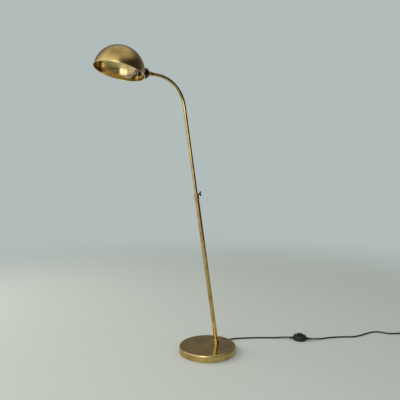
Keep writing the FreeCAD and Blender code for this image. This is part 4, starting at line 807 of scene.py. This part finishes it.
class LAMP_OT_stem(bpy.types.Operator):
    """Turn the foot collar, the lower tube and the clamp collar"""
    bl_idname = "lamp.stem"
    bl_label = "Stem"

    def execute(self, context):
        base, stem = context.scene.lamp_base, context.scene.lamp_stem
        frame_of = stem_frame(context.scene)
        tube, bore = stem.tube / 2 / MM, stem.bore / 2 / MM
        edge, top = base.collar / 2 / MM, base.collar_height / MM
        tilt = math.tan(stem.lean)

        def on_cover(radius, height, turn):
            """The lowest row is cut level by the cover: z = -x tan(lean)."""
            level = -radius * np.cos(turn) * tilt
            return radius, np.where(height < 0.5 * MM, level, height)

        outer = [(edge, 0), (edge, 3), (edge, top - 3)]
        fillet, hole = 1.2, tube + FIT
        shoulder = arc((edge, top - fillet), (edge - fillet, top), fillet, 1, 8)
        inner = [(hole, top), (hole, top - 1), (hole, 4), (hole, 0)]
        collar = lathe("foot_collar_turned", np.concatenate([outer, shoulder, inner]) * MM,
                       frame_of, 96, True, on_cover)
        settle(collar, "base", "turned_brass", "foot_collar")

        start = stem.tube_start / MM
        end = start + stem.tube_length / MM
        chamfer, margin = 0.3, 0.6
        heights = np.linspace(start + margin, end - margin, 60)
        outside = [(tube - chamfer, start), *((tube, z) for z in heights), (tube - chamfer, end)]
        inside = [(bore, end), (bore, start)]
        lower = lathe("lower_tube_drawn", np.array(outside + inside) * MM, frame_of, 72)
        settle(lower, "base", "stem_brass", "lower_tube")

        edge, ring = stem.clamp / 2 / MM, end + stem.clamp_cap / MM
        bottom = ring - stem.clamp_length / MM
        mouth, waist, groove = stem.arm / 2 / MM + FIT, edge - 0.3, edge - 0.45
        clamp = lathe("clamp_collar_turned", rounded([
            (hole, bottom, 0), (edge - 0.9, bottom, 0.4), (waist, bottom + 1.6, 0.3),
            (waist, bottom + 2.6, 0.3), (edge, bottom + 3.1, 0.4), (edge, ring - 8.6, 0.3),
            (groove, ring - 8.2, 0.2), (groove, ring - 7.8, 0.2), (edge, ring - 7.4, 0.3),
            (edge, ring - 1.3, 1.0), (edge - 1.3, ring, 0.8), (mouth, ring, 0.3),
            (mouth, end, 0), (hole, end, 0)]), frame_of, 80)
        settle(clamp, "base", "turned_brass", "clamp_collar")
        return {"FINISHED"}


class LAMP_OT_wing_screw(bpy.types.Operator):
    """Make the wing screw that clamps the upper tube"""
    bl_idname = "lamp.wing_screw"
    bl_label = "Wing screw"

    def execute(self, context):
        stem = context.scene.lamp_stem
        up = stem.tube_start + stem.tube_length + stem.clamp_cap - stem.screw_drop
        frame_of = stem_frame(context.scene) @ place(z=up, turn=math.pi / 2)
        # Along the screw: its tip on the slug, the shoulder of its head, and the wings' ends.
        collar = stem.clamp / 2 / MM
        tip, shoulder, end = stem.arm / 2 / MM + 1.4, collar + 1.2, collar + 15
        shank, pitch, depth = 2.45, 0.8, 0.3
        heights = np.linspace(tip + 0.8, shoulder - 0.2, 40)
        profile = np.array([(0, tip), (shank - 0.7, tip)] + [(shank, z) for z in heights]
                           + [(4, shoulder), (4, shoulder + 2), (3.7, shoulder + 2.6),
                              (2.9, end - 7.5), (2.2, end - 6.2), (0, end - 6)]) * MM

        def thread(radius, height, turns):
            """The radius falls and rises along a helix: r - d / 2 (1 - cos(2 pi z / pitch - a))."""
            helix = depth / 2 * MM * (np.cos(FULL * height / (pitch * MM) - turns) - 1)
            return radius + np.where(np.isclose(radius, shank * MM), helix, 0), height

        screw = lathe("thumb_screw_shank", profile, frame_of, 48, False, thread)
        settle(screw, "thumb_screw", "screw_brass", "thumb_screw")

        wing = [(3.3, shoulder + 1.2, 0.8), (5.2, end - 9.0, 4), (9.9, end - 6.0, 2.5),
                (9.3, end - 0.6, 2.6), (4.6, end - 1.2, 2.6)]
        other = [(-x, z, fillet) for x, z, fillet in wing]
        outline = rounded([other[0], *wing, (0, end - 6.4, 3.2), *other[:0:-1]], True, 8)
        # The wings' faces bulge to an ellipse, cut off short of its ends.
        half, bulge, part = 1.5 * MM, 0.9 * MM, 0.98
        levels = [(half * h, bulge * (1 - math.sqrt(1 - (part * h) ** 2)))
                  for h in np.sin(np.linspace(-1, 1, 9) * math.pi / 2)]
        wings = moulded("thumb_screw_wings", outline, levels,
                        frame_of @ Matrix.Rotation(math.pi / 2, 4, "X"))
        settle(wings, "thumb_screw", "screw_brass")
        return {"FINISHED"}


class LAMP_OT_arm(bpy.types.Operator):
    """Carry the upper tube along its bend"""
    bl_idname = "lamp.arm"
    bl_label = "Arm"

    def execute(self, context):
        stem = context.scene.lamp_stem
        frame_of = stem_frame(context.scene)
        turn, bend = arm_turn(stem), stem.bend_radius
        straight = np.linspace(stem.arm_foot, stem.bend_start, 50)
        turns = np.linspace(0, turn, 60)[1:]
        beyond = np.linspace(0, stem.arm_end - stem.arm_shoulder, 6)[1:]
        centres = np.concatenate([
            np.stack([0 * straight, straight], -1),
            np.stack([-bend * (1 - np.cos(turns)), stem.bend_start + bend * np.sin(turns)], -1),
            np.stack([-bend * (1 - math.cos(turn)) - beyond * math.sin(turn),
                      stem.bend_start + bend * math.sin(turn) + beyond * math.cos(turn)], -1)])
        heading = np.concatenate([0 * straight, turns, turn + 0 * beyond])
        tangents = np.stack([-np.sin(heading), np.cos(heading)], -1)
        # Out along the outside, each end twice for its chamfer, and back along the inside.
        chamfer, last = 0.25 * MM, len(centres) - 1
        rows = np.array([0, *range(last + 1), last, *range(last, -1, -1)])
        radii = np.where(np.arange(len(rows)) < last + 3, stem.arm, stem.arm_bore) / 2
        radii[[0, last + 2]] -= chamfer
        spots = centres[rows]
        spots[1] += tangents[0] * chamfer
        spots[last + 1] -= tangents[-1] * chamfer
        tube = carried("upper_tube_bent", spots, tangents[rows], radii, frame_of)
        settle(tube, "arm", "arm_brass", "upper_tube")
        for node, body in (("knuckle_arm", "arm"), ("knuckle_head", "head"),
                           ("knuckle_screw", "arm"), ("knuckle_washer", "arm")):
            settle(smoothed(node, node + "_milled"), body, "knuckle_brass", node)
        return {"FINISHED"}


# Head

class LAMP_OT_cup(bpy.types.Operator):
    """Spin the bell cup over the lampholder's cap"""
    bl_idname = "lamp.cup"
    bl_label = "Cup"

    def execute(self, context):
        head = context.scene.lamp_head
        back, crown, sheet = head.cup_back / MM, head.cup_crown / MM, head.cup_sheet / MM
        mouth, edge, curve = back + head.cup_depth / MM, head.cup / 2 / MM, head.cup_curve / MM
        bell, lips, hole = back + head.cup_bell / MM, mouth - 0.5, 5.1
        outer = np.concatenate([arc((crown, back), (edge, bell), curve, 1, 24),
                                [(edge, lips - 2), (edge, lips)]])
        inside = edge - sheet
        inner = np.concatenate([[(inside, lips), (inside, lips - 2)],
                                arc((inside, bell), (crown, back + sheet), curve - sheet, -1, 16)])
        lip = arc((edge, lips), (inside, lips), sheet / 2 + 0.001, 1, 6)[1:-1]
        profile = np.concatenate([[(hole, back), (crown - 1, back)], outer, lip, inner,
                                  [(hole, back + sheet)]])
        cup = lathe("holder_cup_spun", profile * MM, head_frame(context.scene), 96)
        settle(cup, "head", "cup_brass", "holder_cup")
        return {"FINISHED"}


class LAMP_OT_holder(bpy.types.Operator):
    """Mould the lampholder and the ring that clamps the dome"""
    bl_idname = "lamp.holder"
    bl_label = "Lampholder"

    def execute(self, context):
        head = context.scene.lamp_head
        frame_of = head_frame(context.scene)
        edge, wall = head.holder / 2 / MM, head.holder_wall / MM
        distance, dome = head.dome_distance / MM, head.dome / MM
        seat = distance - math.sqrt(dome ** 2 - (edge + DOME_GAP) ** 2)
        start, end = head.cup_back / MM + 13, head.holder_end / MM
        flange, thick = head.flange / 2 / MM, 2.5
        inside, groove, ridge = edge - wall, edge - 0.4, edge - 0.45
        shell_profile = rounded([
            (inside, start, 0), (edge, start, 0.3), (edge, start + 4, 0.2),
            (groove, start + 4.5, 0.2), (groove, start + 5.2, 0.2), (edge, start + 5.7, 0.2),
            (edge, seat - thick, 0.4), (flange, seat - thick, 0.6), (flange, seat, 0.4),
            (edge, seat, 0), (edge, end - 3.4, 0.2), (ridge, end - 3.0, 0.2),
            (ridge, end - 2.4, 0.2), (edge, end - 2.0, 0.2), (edge, end, 0.7),
            (inside, end, 0.5)])
        shell_piece = lathe("holder_shell_moulded", shell_profile, frame_of, 96)
        settle(shell_piece, "head", "black", "holder_shell")
        back, hole, boss = head.cup_back / MM + 1, 5 + FIT, 7 + FIT
        cap = lathe("holder_cap_moulded", rounded([
            (hole, back, 0), (9, back, 1), (edge, back + 5, 1), (edge, start, 0.3),
            (inside, start, 0), (inside, back + 6, 0.5), (7.4, back + wall, 0.5),
            (boss, back + wall, 0), (boss, back + 6, 0.2), (hole, back + 6, 0)]), frame_of, 80)
        settle(cap, "head", "black", "holder_cap")
        rim = edge + 3
        front = distance - math.sqrt((dome - head.dome_sheet / MM) ** 2 - rim ** 2) + 0.1
        ring_profile = rounded([
            (edge + FIT, front, 0), (rim, front, 0.4), (rim, front + 4.2, 0.8),
            (rim - 1.5, front + 6, 0.6), (edge + FIT, front + 6, 0.2)])
        flutes, depth, outside = 40, 0.5, rim - 0.9

        def grip(radius, height, turns):
            """Shallow flutes round the rim: r - d / 2 (1 - cos(n a))."""
            flute = depth / 2 * MM * (np.cos(flutes * turns) - 1)
            return radius + np.where(radius > outside * MM, flute, 0), height

        ring = lathe("shade_ring_moulded", ring_profile, frame_of, 240, True, grip)
        settle(ring, "head", "turned_brass", "shade_ring")
        return {"FINISHED"}


class LAMP_OT_dome(bpy.types.Operator):
    """Spin the dome with its rolled rim and the hole for the lampholder"""
    bl_idname = "lamp.dome"
    bl_label = "Dome"

    def execute(self, context):
        head = context.scene.lamp_head
        hole = head.holder / 2 + DOME_GAP * MM
        turns = np.linspace(0, FULL, 224, endpoint=False)[None]
        tilt = math.pi - head.dome_cant
        toward = np.array([math.sin(tilt), 0, math.cos(tilt)])
        upward = np.array([-math.cos(tilt), 0, math.sin(tilt)])
        beside = np.array([0, 1.0, 0])
        limit = np.arctan2(math.cos(tilt), -np.cos(turns) * math.sin(tilt))

        def half_sphere(radius):
            """Around the holder's axis h: P(t, a) = R (cos t h + sin t (cos a e + sin a f)),
            where t runs from the hole's edge to the rim's plane, cos t c = -sin t cos a s."""
            first = math.asin(hole / radius)
            share = np.linspace(0, 1, 72)[:, None]
            reach = first + (limit - first) * share
            spin = np.cos(turns)[..., None] * upward + np.sin(turns)[..., None] * beside
            unit = np.cos(reach)[..., None] * toward + np.sin(reach)[..., None] * spin
            # Hand spinning leaves the wall a tenth of a millimetre uneven.
            x, y, z = unit[..., 0], unit[..., 1], unit[..., 2]
            uneven = (np.sin(5 * z + 2 * x + 0.7) * np.sin(4 * x - 3 * y + 1.1)
                      + 0.6 * np.sin(9 * y + 6 * z + 2.3) * np.sin(7 * x + 0.4))
            margin, height = 0.08, 0.09 * MM
            fade = np.clip(share / margin, 0, 1) * np.clip((1 - share) / margin, 0, 1)
            return unit * (radius + height * uneven * fade)[..., None]

        outer, inner = half_sphere(head.dome), half_sphere(head.dome - head.dome_sheet)
        spin = np.arctan2(outer[-1, :, 1], outer[-1, :, 0])
        bead = head.dome_bead / 2
        middle = head.dome + bead - head.dome_sheet
        sweep = np.linspace(math.acos((head.dome - middle) / bead), -math.pi, 22)
        rim = np.stack([middle + bead * np.cos(sweep), -head.dome_skirt + bead * np.sin(sweep)], -1)
        rows = [np.stack([r * np.cos(spin), r * np.sin(spin), z + 0 * spin], -1) for r, z in rim]
        grid = np.concatenate([outer, np.stack(rows), inner[::-1]])
        # The bead is rubbed bright, and the inside has kept some of its polish.
        polish = np.concatenate([np.zeros(len(outer)), np.ones(len(rows)),
                                 np.full(len(inner), 0.45)])
        dome = surface("shade_dome_spun", grid, dome_frame(context.scene), True, polish, head.dome)
        settle(dome, "head", "dome_brass", "shade")
        return {"FINISHED"}


class LAMP_OT_bulb(bpy.types.Operator):
    """Blow the bulb and give it its cap, mount and filament"""
    bl_idname = "lamp.bulb"
    bl_label = "Bulb"

    def execute(self, context):
        head = context.scene.lamp_head
        frame_of = head_frame(context.scene)
        depth, cap_length, overall, wall, neck = 21.1, 19, 78, 0.9, 7.6
        contact = head.holder_end / MM - depth
        glass, globe = contact + cap_length, head.bulb / 2 / MM
        centre = contact + overall - globe
        lean = math.radians(40)
        curve = (globe * math.sin(lean) - neck) / (1 - math.sin(lean))
        run = centre - (globe + curve) * math.cos(lean)
        touch = (globe * math.sin(lean), centre - globe * math.cos(lean))
        inner = globe - wall
        touch_in = (inner * math.sin(lean), centre - inner * math.cos(lean))
        outside = np.concatenate([
            [(neck, glass)], arc((neck, run), touch, curve, -1, 8),
            arc(touch, (globe, centre), globe, 1, 12)[1:],
            arc((globe, centre), (0, centre + globe), globe, 1, 22)[1:]])
        inside = np.concatenate([
            arc((0, centre + inner), (inner, centre), inner, -1, 22),
            arc((inner, centre), touch_in, inner, -1, 12)[1:],
            arc(touch_in, (neck - wall, run), curve + wall, 1, 8)[1:], [(neck - wall, glass)]])
        outside[-1, 0] = inside[0, 0] = 0
        bulb = lathe("bulb_glass_blown", np.concatenate([outside, inside]) * MM, frame_of, 96)
        settle(bulb, "head", "glass", "bulb_glass")

        heights = np.linspace(contact + 4.4, glass - 1.2, 60)
        profile = np.concatenate([
            [(0, contact), (3, contact), (4.5, contact + 1.5), (6.6, contact + 4)],
            [(6.6, z) for z in heights], [(7, glass - 0.8), (7, glass), (0, glass)]])
        middle, reach = (contact + glass) / 2, (heights[-1] - heights[0]) / 2 + 0.01
        pitch, swing = 2.8, 0.4

        def rolled(radius, height, turns):
            """The cap's rolled thread: r + swing cos(2 pi z / pitch - a) along the middle."""
            wave = swing * MM * np.cos(FULL * height / (pitch * MM) - turns)
            return radius + np.where(np.abs(height / MM - middle) < reach, wave, 0), height

        cap = lathe("bulb_cap_rolled", profile * MM, frame_of, 72, False, rolled)
        settle(cap, "head", "nickel", "bulb_cap")

        mount = lathe("bulb_mount_glass", rounded([
            (0, glass, 0), (5.6, glass, 0), (3.2, glass + 7, 3), (1.6, glass + 12, 1),
            (1.9, glass + 15, 0.8), (0, glass + 15.4, 0)], False), frame_of, 32, False)
        settle(mount, "head", "glass")
        # The filament: a coil along a flattened arc between two leads.
        coil, coils, reach, flat = 0.55, 22, 9, 0.45
        along = np.linspace(0, 1, 180)
        swing = (along - 0.5) * math.radians(210)
        line = np.stack([reach * np.sin(swing), 0 * along,
                         centre + 1 - reach * np.cos(swing) * flat], -1)
        helix = FULL * coils * along
        offset = coil * np.stack([np.cos(helix) * np.cos(swing), np.sin(helix),
                                  np.cos(helix) * np.sin(swing)], -1)
        wire_tube("bulb_filament", (line + offset) * MM, 0.07 * MM, frame_of, "head", "zinc")
        for name, side, tip in (("left", -1, line[0]), ("right", 1, line[-1])):
            lead = np.array([(side * 0.8, 0, glass + 14), (side * 1.2, 0, glass + 18),
                             (side * 6, 0, centre - 9), tip])
            wire_tube("bulb_lead_" + name, lead * MM, 0.2 * MM, frame_of, "head", "zinc")
        return {"FINISHED"}


def wire_tube(name, points, radius, frame_of, body, finish):
    """A thin wire: point(a, s) = line(s) + r (cos a u(s) + sin a v(s)), u and v across it."""
    points = np.asarray(points, float)
    tangent = np.gradient(points, axis=0)
    tangent /= np.linalg.norm(tangent, axis=1, keepdims=True)
    first = np.cross(tangent, [0.0, 1.0, 0.02])
    first /= np.linalg.norm(first, axis=1, keepdims=True)
    second = np.cross(tangent, first)
    turns = np.linspace(0, FULL, 8, endpoint=False)[:, None]
    ring = radius * (np.cos(turns)[None] * first[:, None] + np.sin(turns)[None] * second[:, None])
    grid = points[:, None] + ring
    grid = np.concatenate([np.repeat(points[:1, None], 8, 1), grid,
                           np.repeat(points[-1:, None], 8, 1)])
    piece = surface(name, grid, frame_of, False, None, radius)
    return settle(piece, body, finish)


# Foot switch and plug

def ribbed_relief(name, start, end, root, tip, frame_of, nodes=()):
    """A tapered strain relief with four rings cut in it: r(u) = root + (tip - root) u, less
    the depth in each cut."""
    heights = np.linspace(start, end, 60)
    share = (heights - start) / (end - start)
    radius = root + (tip - root) * share
    first, last, a_run, half, depth = 0.14, 0.94, 5, 0.17, 0.7
    cuts = np.abs(((share - first) * a_run) % 1 - 0.5) < half
    radius -= depth * (cuts & (share > first) & (share < last))
    mouth = end + 0.2
    profile = np.concatenate([[(0, start)], np.stack([radius, heights], -1),
                              [(tip - 0.4, mouth), (3.2, mouth), (0, mouth)]]) * MM
    piece = lathe(name, profile, frame_of, 48, False)
    return settle(piece, "base", "rubber", *nodes)


class LAMP_OT_switch(bpy.types.Operator):
    """Mould the foot switch"""
    bl_idname = "lamp.switch"
    bl_label = "Foot switch"

    def execute(self, context):
        flex = context.scene.lamp_flex
        edge, top = flex.switch / 2 / MM, flex.switch_height / MM
        button, rise = flex.button / 2 / MM, flex.button_rise / MM
        split, seam, wall = 9, 0.15, 2
        pan = lathe("switch_base_pan", rounded([
            (0, 1.5, 0), (edge - 1, 1.5, 0.4), (edge, 2.5, 0.4), (edge, split - 0.6, 0.2),
            (edge - 0.5, split - seam, 0.1), (edge - wall, split - seam, 0),
            (edge - wall, 3.5, 0.6), (0, 3.5, 0)], False), SWITCH, 128, False)
        settle(pan, "base", "black", "switch_base")
        fillet, hole = 7, button + 0.3
        outer = np.concatenate([
            [(edge - 0.5, split + seam), (edge, split + 0.6), (edge, split + 3)],
            arc((edge, top - fillet), (edge - fillet, top), fillet, 1, 16),
            [(button + 3.6, top), (button + 2.6, top + 0.45), (button + 1.0, top + 0.5),
             (hole, top + 0.1)]])
        inner = np.concatenate([
            [(hole, top - wall)],
            arc((edge - fillet, top - wall), (edge - wall, top - fillet), fillet - wall, -1, 8),
            [(edge - wall, split + seam)]])
        cover = lathe("switch_cover_dome", np.concatenate([outer, inner]) * MM, SWITCH, 128)
        settle(cover, "base", "black", "switch_cover")
        # The button: a foot, a skirt under the cover, and a top with shallow rings.
        head_top, foot, stalk, skirt, under = top + rise, 8.9, 3, 14.5, top - wall - 0.1
        spacing, depth = 2.0, 0.25
        rings = np.linspace(button - 3, stalk, 36)
        grip = head_top - depth / 2 * (1 - np.cos(FULL * (rings - stalk) / spacing))
        profile = np.concatenate([
            [(0, foot), (stalk, foot), (stalk, under - 3), (skirt, under - 3), (skirt, under),
             (button, under), (button, top + 2), (button, head_top - 2.4)],
            arc((button, head_top - 2), (button - 2, head_top), 2, 1, 8),
            np.stack([rings, grip], -1), [(0, head_top)]])
        push = lathe("switch_push_button", profile * MM, SWITCH, 96, False)
        settle(push, "foot_button", "black", "switch_button")
        for side, name in ((-1, "switch_relief_in"), (1, "switch_relief_out")):
            nodes = ("switch_reliefs",) if side < 0 else ()
            ribbed_relief(name, edge - 1.5, edge + 17, 5.4, 4.2, switch_axis(flex, side), nodes)
        return {"FINISHED"}


class LAMP_OT_plug(bpy.types.Operator):
    """Mould the plug and stamp its pins"""
    bl_idname = "lamp.plug"
    bl_label = "Plug"

    def execute(self, context):
        flex = context.scene.lamp_flex

        def outline(shrink):
            """The plug from its pins: square, two corners cut away at the flex's side."""
            side, cut = 25 - shrink, 15
            lower = [(-side, -side + cut, 3), (-side + cut, -side, 3), (side, -side, 6)]
            return rounded(lower + [(x, -y, fillet) for x, y, fillet in lower[::-1]], True, 8)

        def skin(low, high, lower, upper):
            """Heights and insets of a moulding with rounded lower and upper edges."""
            rise = np.linspace(0, math.pi / 2, 7)
            sine, cosine = 1 - np.sin(rise[::-1]), 1 - np.cos(rise[::-1])
            below = np.stack([low + lower * sine, lower * cosine], -1)
            above = np.stack([high - upper * cosine, upper * sine], -1)
            return np.concatenate([below, above]) * MM

        seam, face = 15, 23
        back = moulded("plug_back_shell", outline(0.6), skin(0, seam - 0.1, 2.5, 0.3), PLUG)
        settle(back, "base", "plug_black", "plug_cover")
        front = moulded("plug_front_shell", outline(0), skin(seam, face, 0.4, 1.0), PLUG)
        settle(front, "base", "plug_black", "plug_base")
        for name, x, y, wide, deep, reach in (
                ("live", -11.1, -11.1, 4, 6.35, 17.7), ("neutral", -11.1, 11.1, 4, 6.35, 17.7),
                ("earth", 11.1, 0, 8, 4, 22.7)):
            pin = rounded([(x + a * wide / 2, y + b * deep / 2, 0.5)
                           for a, b in ((-1, -1), (1, -1), (1, 1), (-1, 1))], True, 3)
            tip = face + reach
            levels = np.array([(face - 4, 0), (tip - 1.8, 0), (tip - 0.8, 0.35), (tip, 1.1)]) * MM
            piece = moulded("plug_pin_" + name, pin, levels, PLUG)
            settle(piece, "base", "nickel", *(("plug_pins",) if name == "live" else ()))
        ribbed_relief("plug_strain_relief", 24.6, 45.8, 5.2, 4.0, plug_axis(flex),
                      ("plug_relief",))
        return {"FINISHED"}


# Stage

class LAMP_OT_stage(bpy.types.Operator):
    """Set the floor, the lights and the surroundings"""
    bl_idname = "lamp.stage"
    bl_label = "Stage"

    def execute(self, context):
        scene = context.scene
        studio = scene.lamp_studio
        mesh = bpy.data.meshes.new("floor")
        half = 4.0
        mesh.from_pydata([(-half, -half, 0), (half, -half, 0), (half, half, 0), (-half, half, 0)],
                         [], [(0, 1, 2, 3)])
        floor = put("floor", mesh)
        floor.data.materials.append(floor_paint(studio))

        scene.world = surroundings(studio)
        right, ahead = level_ways(studio)
        foot, middle = Vector((-0.1, 0, 0)), Vector((-0.1, 0, 0.7))
        for name, across, away, up, wide, tall, power, mirrored in WINDOWS:
            spot = foot + right * across + ahead * away + Vector((0, 0, up))
            light = put(name, bpy.data.lights.new(name, "AREA"), spot, middle - spot)
            light.data.shape = "RECTANGLE"
            light.data.size, light.data.size_y, light.data.energy = wide, tall, power
            light.visible_camera = False
            light.visible_glossy = mirrored
        scene.view_settings.view_transform = "Standard"
        return {"FINISHED"}


# Soft boxes: name, metres right of, beyond and above the lamp's foot, width, height, watts, and
# whether brass mirrors them: the window is part of the room that it mirrors already.
WINDOWS = (("window", -2.3, 0.7, 1.9, 1.8, 1.8, 34, False),
           ("soft_box", -0.66, -2.25, 1.3, 1.2, 2.2, 20, True))
# What brass mirrors, as turns from straight behind the camera through the left: bright by the
# windows, the wall ahead, and dark to the right; level with the lamp, and above it.
ROOM_LEVEL = ((0.0, 0.8), (0.08, 0.95), (0.20, 0.9), (0.30, 0.65), (0.38, 0.5), (0.62, 0.5),
              (0.67, 0.04), (0.90, 0.03), (0.965, 0.08), (1.0, 0.8))
ROOM_ABOVE = ((0.0, 1.0), (0.10, 1.2), (0.22, 1.15), (0.30, 0.7), (0.38, 0.2), (0.62, 0.17),
              (0.68, 0.06), (0.88, 0.05), (0.955, 0.2), (1.0, 1.0))


def surroundings(studio):
    """Plain, pale surroundings, which the camera, glass and matt surfaces see all round. Brass
    mirrors them as the studio that they are: bright by the windows and dark to the right."""
    world = bpy.data.worlds.new("surroundings")
    world.use_nodes = True
    tree = world.node_tree
    direction = add(tree, "TexCoord")["Generated"]
    across, beyond = (add(tree, "VectorMath", (direction, way), operation="DOT_PRODUCT")["Value"]
                      for way in level_ways(studio))
    turn = add(tree, "Math", (across, beyond), operation="ARCTAN2")[0]
    turn = add(tree, "Math", (turn, 1 / FULL, 0.5), operation="MULTIPLY_ADD")[0]
    height = add(tree, "SeparateXYZ", (direction,))[2]
    above, overhead = (add(tree, "MapRange", (height, low, high),
                           interpolation_type="SMOOTHSTEP")[0]
                       for low, high in ((0.05, 0.32), (0.55, 0.95)))
    level, higher = (add(tree, "ValToRGB", (turn,), stops)[0]
                     for stops in (ROOM_LEVEL, ROOM_ABOVE))
    mirrored = add(tree, "LightPath")["Is Glossy Ray"]
    room = add(tree, "Mix", {0: above, 6: level, 7: higher}, data_type="RGBA")[2]
    room = add(tree, "Mix", {0: overhead, 6: room, 7: linear("D2D3CE")}, data_type="RGBA")[2]
    seen = add(tree, "Mix", {0: mirrored, 6: studio.wall, 7: room}, data_type="RGBA")[2]
    tree.links.new(seen, tree.nodes["Background"].inputs["Color"])
    return world


def floor_paint(studio):
    """Painted boards kept plain: matt, pale, fading into the surroundings 2 m away."""
    material, tree, shader = blank("Floor paint, matt")
    axes = own_axes(tree, place())
    grain = add(tree, "TexNoise", {"Vector": axes, "Scale": 1 / (60 * MM), "Detail": 3,
                                   "Roughness": 0.5})[0]
    share = add(tree, "Math", (grain, 0.25), operation="MULTIPLY")[0]
    shades = add(tree, "Mix", {0: share, 6: studio.floor, 7: linear("C9C9BF")},
                 data_type="RGBA")[2]
    feed(tree, shader, {"Base Color": shades, "Roughness": 0.6})
    distance = add(tree, "VectorMath", (axes,), operation="LENGTH")["Value"]
    fade = add(tree, "MapRange", (distance, 1.4, 3.4), interpolation_type="SMOOTHSTEP")[0]
    clear = add(tree, "BsdfTransparent")[0]
    mixed = add(tree, "MixShader", (fade, shader.outputs[0], clear))[0]
    tree.links.new(mixed, tree.nodes["Material Output"].inputs["Surface"])
    return material


class LAMP_PT_panel(bpy.types.Panel):
    """The lamp's pieces, in the order in which they are built"""
    bl_idname = "LAMP_PT_panel"
    bl_label = "Floor Lamp"
    bl_space_type = "VIEW_3D"
    bl_region_type = "UI"
    bl_category = "Floor Lamp"

    def draw(self, context):
        for operator in OPERATORS:
            self.layout.operator(operator.bl_idname)
        for name, group in GROUPS.items():
            box = self.layout.box()
            box.label(text=name.replace("_", " "))
            for entry in group.__annotations__:
                box.prop(getattr(context.scene, name), entry)


OPERATORS = (LAMP_OT_finishes, LAMP_OT_camera, LAMP_OT_switch, LAMP_OT_plug, LAMP_OT_flex,
             LAMP_OT_base, LAMP_OT_stem, LAMP_OT_wing_screw, LAMP_OT_arm, LAMP_OT_cup,
             LAMP_OT_holder, LAMP_OT_dome, LAMP_OT_bulb, LAMP_OT_stage)
GROUPS = {"lamp_base": LampBaseSizes, "lamp_stem": LampStemSizes, "lamp_head": LampHeadSizes,
          "lamp_flex": LampFlexSizes, "lamp_finishes": LampFinishes, "lamp_studio": LampStudio}


def register():
    """Registers the property groups, the operators and the panel."""
    for name, group in GROUPS.items():
        bpy.utils.register_class(group)
        setattr(bpy.types.Scene, name, PointerProperty(type=group))
    for thing in OPERATORS + (LAMP_PT_panel,):
        bpy.utils.register_class(thing)


def unregister():
    """Takes them out again."""
    for thing in reversed(OPERATORS + (LAMP_PT_panel,)):
        bpy.utils.unregister_class(thing)
    for name, group in reversed(GROUPS.items()):
        delattr(bpy.types.Scene, name)
        bpy.utils.unregister_class(group)


def main():
    """Builds the lamp and the stage."""
    register()
    for operator in OPERATORS:
        group, name = operator.bl_idname.split(".")
        getattr(getattr(bpy.ops, group), name)()


if __name__ == "__main__":
    main()
